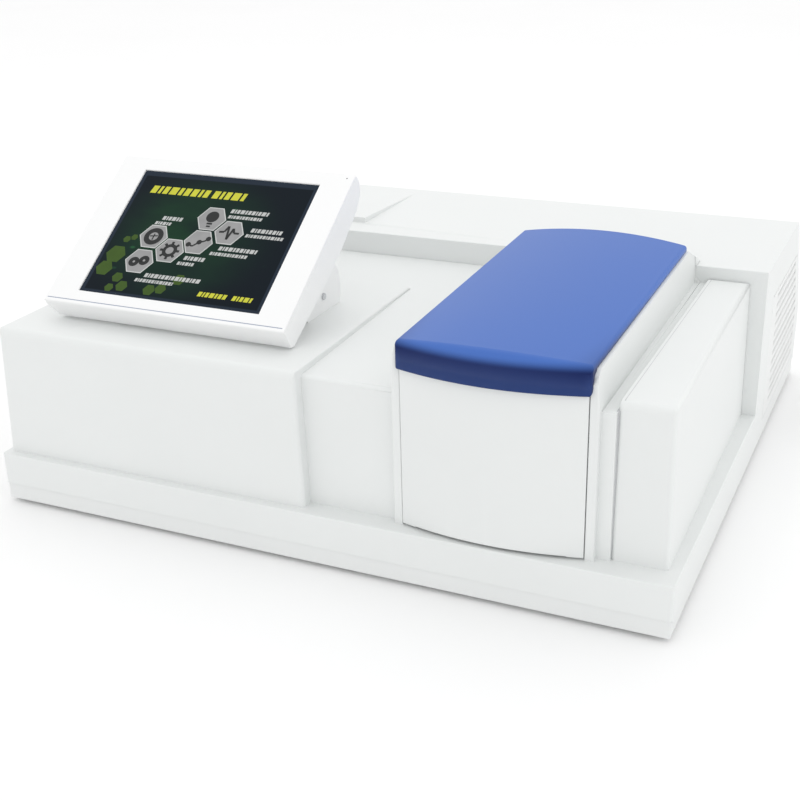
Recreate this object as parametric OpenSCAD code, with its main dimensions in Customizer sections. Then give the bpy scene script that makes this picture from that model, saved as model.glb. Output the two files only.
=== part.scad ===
// Bench-top double-beam spectrophotometer with a tilting touch display,
// a hinged sample-compartment lid and a pull-off front panel.
// Every piece is modelled in the cabinet frame, whose origin is the front-left
// corner of the tray, and is then moved so that the whole stands on z = 0.

/* [Cabinet] */
// Width of the cabinet
body_w = 600; // [580:1:740]
// Depth of the cabinet, front edge to rear edge
body_d = 560; // [540:1:690]
// Height of the ledge that the blocks stand on
plinth_h = 44; // [40:1:56]
// Height of the bottom tray below the seam
tray_h = 14.5; // [12:0.5:18]
// Wall of the moulded covers
wall = 3; // [2.5:0.5:4]
// Height of the rubber feet
foot_h = 4; // [3:0.5:10]
// How much the cover blocks narrow from the ledge to their tops
draft = 4; // [0:0.5:6]

/* [Left block] */
// Left edge of the left block
left_x0 = 4; // [2:1:10]
// Width of the left block, which carries the display
left_w = 296; // [280:1:300]
// Set-back of its front face from the cabinet's front edge
left_front = 8; // [6:1:14]
// Height of its top
left_top = 159.5; // [150:0.5:170]
// Depth at which its raised top ends
left_len = 232; // [215:1:250]

/* [Deck] */
// Set-back of the deck's front face
deck_front = 19; // [16:1:24]
// Height of the deck at the front
deck_z_front = 153.5; // [145:0.5:156]
// Height of the deck at the rear
deck_z_rear = 160; // [156:0.5:164]

/* [Rear block] */
// Depth of the rear block's top, front to back
rear_top_d = 176; // [150:1:260]
// Height of the rear block
rear_top = 181; // [175:1:200]
// Depth from the front edge to the rear block's front face
rear_front = 319; // [310:1:330]
// Height at which the rear wall starts to lean forward
lean_z = 72; // [60:1:90]

/* [Right cover] */
// Width of the right cover
right_w = 43; // [38:1:50]
// Gap between the right cover and the cabinet's right edge
right_margin = 9; // [8:1:14]
// Height of the right cover's top
right_top = 170; // [160:1:180]
// How much the right cover narrows towards the rear
right_taper = 4; // [0:1:6]

/* [Sample compartment] */
// Outside width of the housing round the compartment
housing_w = 160; // [150:1:172]
// Thickness of the housing's side walls
housing_wall = 7; // [6:0.5:9]
// Gap between the housing and the right cover
channel_w = 11; // [9:1:16]
// Set-back of the housing's front strips
housing_front = 13; // [12:0.5:16]
// Height of the housing's side walls at the front
housing_z_front = 192.5; // [188:0.5:200]
// Height of the housing's side walls at the rear
housing_z_rear = 200.5; // [192:0.5:206]
// Height of the light beams above the tray's underside
beam_z = 98; // [90:1:110]
// Depth of the sample beam from the front edge
sample_y = 110; // [90:1:130]
// Spacing of the sample and reference beams
beam_pitch = 100; // [80:1:120]
// Radius of the beam windows
window_r = 9; // [6:0.5:11]

/* [Lid] */
// Width of the lid
lid_w = 150; // [140:1:152]
// Depth from the front edge to the lid's rear edge
lid_rear = 297; // [285:1:299]
// Rise of the crowned top above its side edges
lid_crown = 7; // [4:0.5:10]
// How far the lid's front bulges forward of its corners
lid_bulge = 12; // [8:0.5:14]
// Depth of the front lip
lip_h = 21.5; // [16:0.5:26]
// Depth of the side flanges
flange_h = 4.5; // [3:0.5:6]
// Thickness of the lid
lid_t = 3; // [2.5:0.5:4]

/* [Display] */
// Width of the display
disp_w = 236; // [220:1:236]
// Height of the display along its face
disp_h = 168; // [160:1:200]
// Thickness of the display along its lower edge
disp_t = 24.5; // [22:0.5:26]
// How much thicker its back is half-way up
disp_bulge = 6; // [3:0.5:7]
// Lean of the display's face from the horizontal
disp_lean = 34.7; // [30:0.1:36]
// Left edge of the display
disp_x0 = 36; // [30:1:40]
// Depth of the display's lower front edge
disp_y = 40; // [36:1:50]
// Height of the lower front edge above the left block
disp_lift = 19.5; // [19:0.5:24]
// Visible width of the touch glass
glass_w = 178; // [160:1:190]
// Visible height of the touch glass
glass_h = 139; // [125:1:150]
// Radius of the stand's ears
ear_r = 33; // [28:1:34]
// Height of the tilt axis above the left block
pivot_lift = 14.5; // [13:0.5:18]
// Radius of the tilt pins
tilt_pin_r = 3; // [2.5:0.5:4]

/* [Cells] */
// Outside width of a cuvette
cell_w = 12.5; // [10:0.5:15]
// Height of a cuvette
cell_h = 45; // [40:1:50]
// Outside width of a cell holder
holder_w = 36; // [30:1:44]

/* [Side grille] */
// Number of louvre slots
louvre_count = 12; // [8:1:12]
// Pitch of the louvre slots
louvre_pitch = 9.5; // [9:0.5:10]

/* [Hidden] */
$fn = 64;
fit_gap = 0.3;                 // between separate covers
run_gap = 0.05;                // radial, between a pin and its bore
seam_gap = 0.6;                // the visible line round the front panel
lip_proud = 2.5;               // the lip stands proud of the front panel
lid_corner = housing_front - lip_proud - 0.5;      // depth of the lid's front corners
overhang = lid_bulge - lid_corner;                 // of the lip past the front edge
total_d = body_d + overhang;
front_y = -total_d / 2 + overhang;
left_x1 = left_x0 + left_w;
right_x1 = body_w - right_margin;
right_x0 = right_x1 - right_w;
right_front = deck_front + 2;
housing_x1 = right_x0 - channel_w;
housing_x0 = housing_x1 - housing_w;
mid_x = (housing_x0 + housing_x1) / 2;
inner_x0 = housing_x0 + housing_wall;
inner_x1 = housing_x1 - housing_wall;
housing_rear = rear_front;
trough_y = lid_rear + 2;
trough_z = rear_top + 6;
wall_end_z = trough_z + 2;     // where the housing's walls meet the rear block
rear_top_y = rear_front + rear_top_d;
raised_x0 = 24;                // raised part of the rear block's top
raised_x1 = 194;
raised_h = 5;
reference_y = sample_y + beam_pitch;
lid_slope = atan((housing_z_rear - housing_z_front) / (housing_rear - housing_front));
lid_z = housing_z_front + 0.5 + flange_h;          // top of the lid's side edge at its corner
lid_len = lid_rear - lid_corner;
hinge_y = lid_rear + 8;
hinge_z = trough_z + 7;
hinge_r = 2;
knuckle_r = 4.5;
glass_x0 = (disp_w - glass_w) / 2;
glass_s0 = (disp_h - glass_h) / 2;
disp_z = left_top + disp_lift;
pivot_y = disp_y + 104;
pivot_z = left_top + pivot_lift;
stand_x0 = disp_x0 + 19;
stand_x1 = disp_x0 + disp_w - 19;
ear_t = 4;
foot_r = 14;
foot_in = 38;
tray_in = 1;
tray_wall = 3;
floor_z = tray_wall;
plate_z = 26;                  // underside of the optical base
plate_t = 8;
optic_z = plate_z + plate_t;   // top of the optical base
tub_t = 2.5;
tub_z = plinth_h + 8;
tub_top = 183;
tub_front = housing_front + 9;
tub_rear = lid_rear - 9;
panel_t = 3;
panel_z0 = plinth_h + 2;
panel_z1 = lid_z - lip_h - 1.5;
panel_x0 = inner_x0 + seam_gap;
panel_x1 = inner_x1 - seam_gap;
grille_y0 = rear_front + 46;
grille_y1 = body_d - 14;
grille_z0 = tray_h + 7.5;
grille_z1 = grille_z0 + louvre_count * louvre_pitch + 8;
fan_w = 92;
fan_t = 25;
fan_y = grille_y0 + 30 + fan_w / 2;
fan_x1 = body_w - wall - 8;
fan_x0 = fan_x1 - fan_t;
panel_x_in = body_w - 270;     // left edge of the rear connector panel
rear_panel_w = 230;
rear_panel_h = 46;
rear_panel_z = tray_h + 6;
socket_x = body_w - 80;
switch_x = body_w - 126;
usb_x = body_w - 180;
serial_x = body_w - 226;
port_z = rear_panel_z + rear_panel_h / 2;
mono_x0 = 150;
mono_x1 = 410;
mono_y0 = rear_front + 18;
mono_y1 = rear_top_y - 8;
mono_top = optic_z + 104;
case_t = 4;
grating_y = (mono_y0 + mono_y1) / 2;
lamp_x0 = 446;
lamp_x1 = 548;
lamp_y0 = mono_y0;
lamp_y1 = mono_y0 + 92;
lamp_top = optic_z + 96;
wheel_x = (mono_x1 + lamp_x0) / 2;
wheel_y = (lamp_y0 + lamp_y1) / 2 + 4;
wheel_r = 24;
chopper_x = 350;
chopper_r = 34;
detector_x0 = right_x0 + 6;
detector_x1 = right_x1 - 8;
detector_y = (sample_y + reference_y) / 2;
supply_x0 = 24;
supply_x1 = 128;
supply_y0 = rear_front + 10;
supply_y1 = supply_y0 + 160;
board_x0 = 56;
board_x1 = 286;
board_y0 = 50;
board_y1 = 214;
board_z = 14;
plate_y0 = 90;

// ---------------------------------------------------------------- helpers

module cabinet() { translate([-body_w / 2, front_y, foot_h]) children(); }

module box(x0, x1, y0, y1, z0, z1) {
    translate([x0, y0, z0]) cube([x1 - x0, y1 - y0, z1 - z0]);
}

// A profile of [y, z] points, swept from x0 to x1.
module sweep_x(x0, x1, points) {
    translate([x0, 0, 0]) rotate([90, 0, 90]) linear_extrude(x1 - x0) polygon(points);
}

// A profile of [x, z] points, swept from y0 to y1.
module sweep_y(y0, y1, points) {
    translate([0, y1, 0]) rotate([90, 0, 0]) linear_extrude(y1 - y0) polygon(points);
}

module rod_x(x0, x1, y, z, r) { translate([x0, y, z]) rotate([0, 90, 0]) cylinder(h = x1 - x0, r = r); }
module rod_y(y0, y1, x, z, r) { translate([x, y0, z]) rotate([-90, 0, 0]) cylinder(h = y1 - y0, r = r); }
module rod_z(z0, z1, x, y, r) { translate([x, y, z0]) cylinder(h = z1 - z0, r = r); }

// The height of the housing's side walls at a given depth.
function housing_z(y) = housing_z_front
    + (y - housing_front) * (housing_z_rear - housing_z_front) / (housing_rear - housing_front);

// The radius of an arc from its half-width and its rise.
function arc_r(half, rise) = (half * half + rise * rise) / (2 * rise);

// Points along an arc in the cabinet's plan, bulging forward from the corners
// (x0, y) and (x1, y) by rise.
function bow(x0, x1, y, rise, steps = 24) =
    let (half = (x1 - x0) / 2, r = arc_r(half, rise), a = asin(half / r))
    [for (i = [0:steps]) let (t = -a + 2 * a * i / steps)
        [(x0 + x1) / 2 + r * sin(t), y - rise + r * (1 - cos(t))]];

// The outline of the lid seen from above, drawn in by `inset` all round.
module lid_plan(inset) {
    x0 = mid_x - lid_w / 2 + inset;
    x1 = mid_x + lid_w / 2 - inset;
    polygon(concat(bow(x0, x1, lid_corner + inset, lid_bulge),
        [[x1, lid_rear - inset], [x0, lid_rear - inset]]));
}

// Moves children drawn flat (z = 0 at the housing's front top corner) on to the
// slope of the housing's side walls.
module on_slope() {
    translate([0, housing_front, housing_z_front]) rotate([lid_slope, 0, 0]) children();
}

// Everything below the lid's crowned top, lowered by `drop`, down to `z0`.
module under_crown(drop, z0) {
    r = arc_r(lid_w / 2, lid_crown);
    top = flange_h + 0.5 + lid_crown - drop;
    on_slope() intersection() {
        rod_y(-60, lid_len + 60, mid_x, top - r, r, $fn = 360);
        box(mid_x - lid_w, mid_x + lid_w, -60, lid_len + 60, z0, top + 1);
    }
}

// ---------------------------------------------------------------- tray and feet

module bottom_tray() color("white") cabinet() {
    difference() {
        box(tray_in, body_w - tray_in, tray_in, body_d - tray_in, 0, tray_h);
        box(tray_in + tray_wall, body_w - tray_in - tray_wall, tray_in + tray_wall,
            body_d - tray_in - tray_wall, floor_z, tray_h + 1);
        for (i = [0:7]) box(180 + i * 14, 186 + i * 14, 250, 300, -1, floor_z + 1);
        foot_places() translate([0, 0, -1]) cylinder(h = floor_z + 2, r = 2.2);
    }
}

module foot_places() {
    for (x = [foot_in, body_w - foot_in], y = [foot_in, body_d - foot_in])
        translate([x, y, 0]) children();
}

module feet() color("dimgray") cabinet() foot_places() difference() {
    translate([0, 0, -foot_h]) cylinder(h = foot_h, r = foot_r);
    translate([0, 0, -foot_h - 1]) cylinder(h = foot_h / 2 + 1, r = 5);
    translate([0, 0, -foot_h - 1]) cylinder(h = foot_h + 2, r = 2.2);
}

module foot_screws() color("silver") cabinet() foot_places() {
    translate([0, 0, -foot_h / 2 - 0.5]) cylinder(h = 0.5, r = 4.2);
    translate([0, 0, -foot_h / 2]) cylinder(h = foot_h / 2 + floor_z + 3, r = 2.2);
    translate([0, 0, floor_z]) cylinder(h = 3, r = 4);
}

// ---------------------------------------------------------------- covers

// The side opening that the grille closes, as a profile of [y, z] points.
function grille_shape(grow) =
    let (y0 = grille_y0 - grow, z0 = grille_z0 - grow, z1 = grille_z1 + grow,
        lean = (body_d - rear_top_y) / (rear_top - lean_z),
        m = (8.59 - 0.859 * grow) * norm([1, lean]))
    [[y0, z0], [grille_y1 + grow, z0], [grille_y1 + grow, lean_z],
        [min(grille_y1 + grow, rear_top_y + (rear_top - z1) * lean - m), z1], [y0, z1]];

module plinth_frame() color("white") cabinet() {
    z0 = tray_h + 0.4;
    rim = tray_in + tray_wall;
    difference() {
        union() {
            box(0, body_w, 0, body_d, z0, plinth_h);
            // tongue that drops inside the tray's rim
            box(rim, body_w - rim, rim, body_d - rim, z0 - 4, z0 + 1);
        }
        box(wall, body_w - wall, wall, body_d - wall, z0 + 2, plinth_h - wall);
        box(rim + 2, body_w - rim - 2, rim + 2, body_d - rim - 2, z0 - 5, z0 + 3);
        box(left_x0 + 8, left_x1 - 8, deck_front + 6, rear_front + 12, z0, plinth_h + 1);
        box(left_x1 - 9, housing_x0 - 4, deck_front + 6, rear_front + 12, z0, plinth_h + 1);
        box(inner_x0, inner_x1, housing_front + 8, rear_front + 12, z0, plinth_h + 1);
        box(right_x0 + 4, right_x1 - 6, right_front + 6, rear_front + 12, z0, plinth_h + 1);
        box(wall, body_w - wall, rear_front + 8, body_d - wall, z0 + 4, plinth_h + 1);
        sweep_x(body_w - wall - 1, body_w + 1, grille_shape(fit_gap));
        box(panel_x_in, panel_x_in + rear_panel_w, body_d - wall - 1, body_d + 1,
            rear_panel_z, rear_panel_z + rear_panel_h);
    }
}

// The left block and the deck, grown inwards by `w`.
module left_form(w) {
    z0 = plinth_h - (w > 0 ? 1 : 0);
    intersection() {
        sweep_y(0, rear_front, [[left_x0 + w, z0], [left_x0 + draft + w, left_top - w],
            [left_x1 - draft - w, left_top - w], [left_x1 - w, z0]]);
        sweep_x(0, body_w, [[left_front + w, z0], [left_front + draft / 2 + w, left_top - w],
            [left_len - w, left_top - w], [left_len + 6 - w, z0]]);
    }
    intersection() {
        sweep_y(0, rear_front, [[left_x0 + w, z0], [left_x0 + draft + w, left_top],
            [housing_x0 - fit_gap - w, left_top], [housing_x0 - fit_gap - w, z0]]);
        sweep_x(0, body_w, [[deck_front + w, z0], [deck_front + draft / 2 + w, deck_z_front - w],
            [rear_front - fit_gap + w, deck_z_rear - w], [rear_front - fit_gap + w, z0]]);
    }
}

module left_cover() color("white") cabinet() difference() {
    left_form(0);
    left_form(wall);
    // screw holes for the display stand
    for (x = stand_screws()) rod_z(left_top - 20, left_top + 1, x, pivot_y, 2.2);
    // passage for the beams
    for (y = [sample_y, reference_y]) rod_x(housing_x0 - 12, housing_x0 + 1, y, beam_z, window_r);
}

module right_cover() color("white") cabinet() difference() {
    right_form(0);
    right_form(wall);
    for (y = [sample_y, reference_y]) rod_x(right_x0 - 1, right_x0 + 12, y, beam_z, window_r);
}

module right_form(w) {
    z0 = plinth_h - (w > 0 ? 1 : 0);
    x1 = right_x1 - w;
    turn = atan(right_taper / (rear_front - right_front));
    dip = atan(draft / 2 / (right_top - plinth_h) * cos(turn));
    intersection() {
        sweep_x(right_x0 + w, right_x1 + 1, [[right_front + w, z0],
            [right_front + w + draft / 2, right_top - w],
            [rear_front - fit_gap + w, right_top - w], [rear_front - fit_gap + w, z0]]);
        // everything left of the side, which tapers to the rear and leans in
        translate([x1, right_front, plinth_h]) rotate([0, -dip, turn])
            translate([-right_w * 2, -body_d, -body_d]) cube([right_w * 2, body_d * 2, body_d * 2]);
    }
}

// The rear block's profile, grown inwards by `w`.
function rear_shape(w) = [[rear_front + w, plinth_h - (w > 0 ? 1 : 0)], [rear_front + w, rear_top - w],
    [rear_top_y - 0.6 * w, rear_top - w], [body_d - w, lean_z - 0.3 * w],
    [body_d - w, plinth_h - (w > 0 ? 1 : 0)]];

module rear_cover() color("white") cabinet() {
    difference() {
        sweep_x(0, body_w, rear_shape(0));
        sweep_x(wall, body_w - wall, rear_shape(wall));
        sweep_x(body_w - wall - 1, body_w + 1, grille_shape(fit_gap));
        box(panel_x_in, panel_x_in + rear_panel_w, body_d - wall - 1, body_d + 1,
            rear_panel_z, rear_panel_z + rear_panel_h);
        // the way through into the deck and the compartment
        box(left_x0 + 10, housing_x0 - 6, rear_front - 1, rear_front + wall + 1, plinth_h - 1,
            deck_z_rear - 8);
        // cable slot behind the display
        box(100, 140, rear_front - 1, rear_front + wall + 1, deck_z_rear + 4, deck_z_rear + 10);
    }
    // raised part of the top, tapering away to the rear
    sweep_x(raised_x0, raised_x1, [[rear_front + 30, rear_top - 1], [rear_front + 31, rear_top + raised_h],
        [rear_top_y - 17, rear_top], [rear_top_y - 17, rear_top - 1]]);
}

module side_grille() color("whitesmoke") cabinet() difference() {
    union() {
        sweep_x(body_w - wall, body_w, grille_shape(0));
        sweep_x(body_w - wall - 2, body_w - wall, grille_shape(4));
    }
    for (i = [0:louvre_count - 1]) {
        z = grille_z0 + 7 + i * louvre_pitch;
        y1 = min(grille_y1 - 12, rear_top_y + (rear_top - z - 4)
            * (body_d - rear_top_y) / (rear_top - lean_z) - 20);
        sweep_y(grille_y0 + 26, y1, [[body_w + 1, z - 0.5], [body_w + 1, z + 4],
            [body_w - wall - 3, z + 10], [body_w - wall - 3, z + 5.5]]);
    }
}

// ---------------------------------------------------------------- compartment

module sample_housing() color("white") cabinet() {
    difference() {
        union() {
            // side walls, their tops leaning outwards from the lid
            intersection() {
                sweep_x(housing_x0, housing_x1, [[housing_front, plinth_h],
                    [housing_front, housing_z_front - 9], [housing_front + 3, housing_z_front - 3],
                    [housing_front + 9, housing_z(housing_front + 9)],
                    [lid_rear - 1, housing_z(lid_rear - 1)], [housing_rear, wall_end_z],
                    [housing_rear, plinth_h]]);
                sweep_y(housing_front, housing_rear, [[housing_x0, plinth_h], [housing_x0, right_top - 4],
                    [inner_x0 - 4, housing_z_rear + 1], [inner_x1 + 4, housing_z_rear + 1],
                    [housing_x1, right_top - 4], [housing_x1, plinth_h]]);
            }
            // floor of the channel beside the right cover
            sweep_x(inner_x1 + 2, right_x0 - fit_gap, [[housing_front + 6, plinth_h],
                [housing_front + 6, right_top - 8], [housing_rear, right_top - 4],
                [housing_rear, plinth_h]]);
            // skirt that carries the walls over the rear block's top
            intersection() {
                sweep_x(housing_x0, housing_x1, [[housing_rear - 1, rear_top + 0.5],
                    [housing_rear - 1, wall_end_z], [housing_rear, wall_end_z],
                    [housing_rear + 15, rear_top + 0.5]]);
                sweep_y(0, body_d, [[housing_x0, rear_top], [inner_x0 - 4, housing_z_rear + 1],
                    [inner_x1 + 4, housing_z_rear + 1], [housing_x1, rear_top]]);
            }
        }
        // the compartment itself, the trough behind the lid and the front opening
        box(inner_x0, inner_x1, housing_front - 1, trough_y, plinth_h - 1, housing_z_rear + 20);
        box(inner_x0, inner_x1, trough_y - 1, housing_rear + 60, trough_z, housing_z_rear + 20);
        box(inner_x0, inner_x1, trough_y + wall, housing_rear - wall, plinth_h - 1, trough_z - wall);
        beam_ports(window_r, housing_x0 - 1, right_x0 + 1);
        beam_ports(window_r + 2, inner_x0 - 3, inner_x0 + 1);
        beam_ports(window_r + 2, inner_x1 - 1, inner_x1 + 3);
    }
    // sill under the front panel
    box(inner_x0, inner_x1, housing_front + 3.5, housing_front + 9, plinth_h, panel_z0 + 10);
}

module beam_ports(r, x0, x1) {
    for (y = [sample_y, reference_y]) rod_x(x0, x1, y, beam_z, r);
}

module beam_windows() color("lightblue") cabinet() {
    beam_ports(window_r + 2, inner_x0 - 3, inner_x0);
    beam_ports(window_r + 2, inner_x1, inner_x1 + 3);
}

module sample_tub() color("dimgray") cabinet() {
    difference() {
        box(inner_x0, inner_x1, tub_front, tub_rear, tub_z, tub_top);
        box(inner_x0 + tub_t, inner_x1 - tub_t, tub_front + tub_t, tub_rear - tub_t,
            tub_z + tub_t, tub_top + 1);
        box(inner_x0 + 14, inner_x1 - 14, tub_front - 1, tub_front + tub_t + 1, beam_z + 12,
            tub_top + 1);
        beam_ports(window_r, inner_x0 - 1, inner_x1 + 1);
    }
    // legs down to the optical base
    for (x = [inner_x0 + 20, inner_x1 - 20], y = [tub_front + 84, tub_rear - 24])
        rod_z(optic_z, tub_z, x, y, 6);
}

module holder_plate() color("silver") cabinet() difference() {
    box(mid_x - 34, mid_x + 34, sample_y - 34, reference_y + 34, tub_z + tub_t, tub_z + tub_t + 6);
    for (x = [mid_x - 27, mid_x + 27], y = [sample_y - 27, reference_y + 27])
        rod_z(tub_z, tub_z + tub_t + 7, x, y, 2.5);
}

cell_slot = cell_w + 0.7;
cell_z = beam_z - 20;          // underside of the cuvettes
holder_z0 = tub_z + tub_t + 6;
holder_z1 = cell_z + cell_h - 11;

module cell_holders() color("dimgray") cabinet() for (y = [sample_y, reference_y]) difference() {
    union() {
        box(mid_x - holder_w / 2, mid_x + holder_w / 2, y - holder_w / 2, y + holder_w / 2,
            holder_z0, holder_z1);
        box(mid_x - holder_w / 2 - 8, mid_x + holder_w / 2 + 8, y - 10, y + 10,
            holder_z0, holder_z0 + 5);
    }
    box(mid_x - cell_slot / 2, mid_x + cell_slot / 2, y - cell_slot / 2, y + cell_slot / 2,
        cell_z - 0.35, holder_z1 + 1);
    rod_x(mid_x - holder_w, mid_x + holder_w, y, beam_z, 4);
    for (x = [-1, 1]) rod_z(holder_z0 - 1, holder_z0 + 6, mid_x + x * (holder_w / 2 + 4), y, 2);
}

module cuvette(y) color("lightcyan") cabinet() difference() {
    box(mid_x - cell_w / 2, mid_x + cell_w / 2, y - cell_w / 2, y + cell_w / 2,
        cell_z, cell_z + cell_h);
    box(mid_x - cell_w / 2 + 1.25, mid_x + cell_w / 2 - 1.25, y - cell_w / 2 + 1.25,
        y + cell_w / 2 - 1.25, cell_z + 1.5, cell_z + cell_h + 1);
}

module sample_cuvette() cuvette(sample_y);
module reference_cuvette() cuvette(reference_y);

module lid_seal() color("black") cabinet() difference() {
    box(inner_x0, inner_x1, tub_front, tub_rear, tub_top, tub_top + 3);
    box(inner_x0 + 5, inner_x1 - 5, tub_front + 5, tub_rear - 5, tub_top - 1, tub_top + 4);
    box(inner_x0 + 14, inner_x1 - 14, tub_front - 1, tub_front + 6, tub_top - 1, tub_top + 4);
}

// ---------------------------------------------------------------- lid

module lid() color("royalblue") cabinet() {
    difference() {
        union() {
            intersection() {
                translate([0, 0, lid_z - 60]) linear_extrude(120) lid_plan(0);
                under_crown(0, 0.5);
            }
            // front lip
            intersection() {
                translate([0, 0, lid_z - lip_h]) linear_extrude(lip_h) lid_plan(0);
                box(0, body_w, front_y * 4, housing_front - 0.5, lid_z - lip_h, lid_z + 9);
            }
            // rear lip, between the housing's walls
            box(inner_x0 + 1, inner_x1 - 1, lid_rear - lid_t, lid_rear, trough_z + 1.5,
                housing_z_rear);
        }
        difference() {
            intersection() {
                translate([0, 0, lid_z - 60]) linear_extrude(120) lid_plan(lid_t);
                under_crown(lid_t, -60);
            }
            box(inner_x0, inner_x1, lid_rear - lid_t, lid_rear, 0, lid_z + 60);
        }
    }
    for (x = hinge_places()) difference() {
        union() {
            rod_x(x - 9, x + 9, hinge_y, hinge_z, knuckle_r);
            box(x - 9, x + 9, lid_rear - 0.5, hinge_y, hinge_z - 3, hinge_z + 3);
        }
        rod_x(x - 10, x + 10, hinge_y, hinge_z, hinge_r + run_gap);
    }
}

function hinge_places() = [mid_x - 44, mid_x + 44];

module lid_liner() color("black") cabinet() on_slope()
    box(mid_x - lid_w / 2 + lid_t, mid_x + lid_w / 2 - lid_t, 6, lid_len - 10, 0.7, 2.2);

module lid_hinge_leaves() color("silver") cabinet() for (x = hinge_places(), s = [-1, 1]) {
    difference() {
        union() {
            rod_x(x + s * 12 - 2.5, x + s * 12 + 2.5, hinge_y, hinge_z, knuckle_r);
            box(x + s * 12 - 2.5, x + s * 12 + 2.5, hinge_y - knuckle_r, hinge_y + knuckle_r,
                trough_z, hinge_z);
            box(min(x + s * 9.5, x + s * 20), max(x + s * 9.5, x + s * 20), hinge_y - knuckle_r,
                hinge_y + knuckle_r, trough_z, trough_z + 1.5);
        }
        rod_x(x - 20, x + 20, hinge_y, hinge_z, hinge_r);
    }
}

module hinge_pins() color("silver") cabinet() for (x = hinge_places())
    rod_x(x - 15.5, x + 15.5, hinge_y, hinge_z, hinge_r);

// ---------------------------------------------------------------- front panel

panel_corner = lid_corner + lip_proud;
panel_bulge = lid_bulge - 2;

module front_panel() color("white") cabinet() {
    difference() {
        translate([0, 0, panel_z0]) linear_extrude(panel_z1 - panel_z0) difference() {
            polygon(concat(bow(panel_x0, panel_x1, panel_corner, panel_bulge),
                [[panel_x1, housing_front + 3], [panel_x0, housing_front + 3]]));
            polygon(concat(bow(panel_x0 + panel_t, panel_x1 - panel_t, panel_corner + panel_t,
                panel_bulge), [[panel_x1 - panel_t, housing_front + 9],
                [panel_x0 + panel_t, housing_front + 9]]));
        }
        box(panel_x0 + 12, panel_x1 - 12, 0, housing_front + 9, panel_z0 - 1, panel_z0 + 0.5);
    }
    // studs that push into the catches
    for (x = [panel_x0 + 6, panel_x1 - 6], z = [panel_z0 + 24, panel_z1 - 24]) {
        box(x - 5, x + 5, panel_corner, housing_front + 3, z - 5, z + 5);
        rod_y(housing_front, housing_front + 7, x, z, 2.5);
    }
}

module panel_catches() color("silver") cabinet()
    for (x = [panel_x0 + 6, panel_x1 - 6], z = [panel_z0 + 24, panel_z1 - 24]) difference() {
        box(min(x - 5, x < mid_x ? inner_x0 : x - 5), max(x + 5, x > mid_x ? inner_x1 : x + 5),
            housing_front + 3.5, tub_front, z - 5, z + 5);
        rod_y(housing_front, tub_front + 1, x, z, 2.5 + run_gap);
    }

// ---------------------------------------------------------------- display

// Children drawn flat: x across, y up the face, z out of the face.
module on_display() translate([disp_x0, disp_y, disp_z]) rotate([disp_lean, 0, 0]) children();

bezel_t = 4;
case_lip = 9;                  // depth at which the case's ends start to taper
taper_left = 11;
taper_right = 1;
bulge_s0 = 75;                 // where the back is thickest, up the face
bulge_s1 = 108;

// The display's case, grown inwards by `w`.
module case_form(w) {
    front = -bezel_t + (w > 0 ? 1 : 0);
    low = -disp_t + w;
    back = -disp_t - disp_bulge + w;
    intersection() {
        sweep_y(0, disp_h, [[w, front], [w, -case_lip], [taper_left + w, back],
            [disp_w - taper_right - w, back], [disp_w - w, -case_lip], [disp_w - w, front]]);
        sweep_x(0, disp_w, [[w, front], [w, low + 3.5], [4 + 0.6 * w, low], [bulge_s0, back + 0.5],
            [bulge_s1, back], [disp_h - 38, low - 3.5], [disp_h - 18 - 0.3 * w, low - 2],
            [disp_h - 4 - w, low + 4.5], [disp_h - w, low + 13.5], [disp_h - w, front]]);
    }
}

module display_case() color("white") cabinet() {
    on_display() difference() {
        case_form(0);
        case_form(2.5);
        for (i = [0:9]) box(78 + i * 8, 82 + i * 8, disp_h - 62, disp_h - 30,
            -disp_t - disp_bulge - 1, -disp_t + 4);
    }
    // lugs down to the tilt pins
    for (x = lug_places()) translate([x, pivot_y, pivot_z]) rotate([disp_lean, 0, 0])
        rotate([90, 0, 90]) linear_extrude(lug_t) difference() {
            union() {
                circle(r = lug_r);
                translate([2 - lug_r, 0]) square([2 * lug_r - 4, lug_len]);
            }
            circle(r = tilt_pin_r + run_gap);
        }
}

lug_t = 6;
lug_r = 10;
lug_len = (pivot_y - disp_y) * sin(disp_lean) - (pivot_z - disp_z) * cos(disp_lean) - disp_t
    - disp_bulge + 1.5;
function lug_places() = [stand_x0 + ear_t + 1, stand_x1 - ear_t - 1 - lug_t];
function stand_screws() = [stand_x0 + 34, stand_x1 - 34];

module display_bezel() color("white") cabinet() on_display() {
    difference() {
        box(0, disp_w, 0, disp_h, -bezel_t, 0);
        box(glass_x0, glass_x0 + glass_w, glass_s0, glass_s0 + glass_h, -bezel_t - 1, 1);
    }
    // rim behind the window that the glass rests on
    difference() {
        box(glass_x0 - 6, glass_x0 + glass_w + 6, glass_s0 - 6, glass_s0 + glass_h + 6,
            -bezel_t - 1.5, -bezel_t);
        box(glass_x0 + 2, glass_x0 + glass_w - 2, glass_s0 + 2, glass_s0 + glass_h - 2,
            -bezel_t - 2, 1);
    }
}

module touch_glass() color("midnightblue") cabinet() on_display()
    box(glass_x0, glass_x0 + glass_w, glass_s0, glass_s0 + glass_h, -bezel_t, -1.5);

module display_panel() color("darkgreen") cabinet() on_display() {
    box(glass_x0 - 5, glass_x0 + glass_w + 5, glass_s0 - 5, glass_s0 + glass_h + 5,
        -bezel_t - 8, -bezel_t - 1.5);
    box(glass_x0 + 20, glass_x0 + 120, glass_s0 + 20, glass_s0 + 100, -bezel_t - 9.6, -bezel_t - 8);
    for (x = [glass_x0, glass_x0 + glass_w - 6], y = [glass_s0, glass_s0 + glass_h - 12])
        box(x, x + 6, y, y + 6, -disp_t + 4.4, -bezel_t - 8);
}

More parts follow.
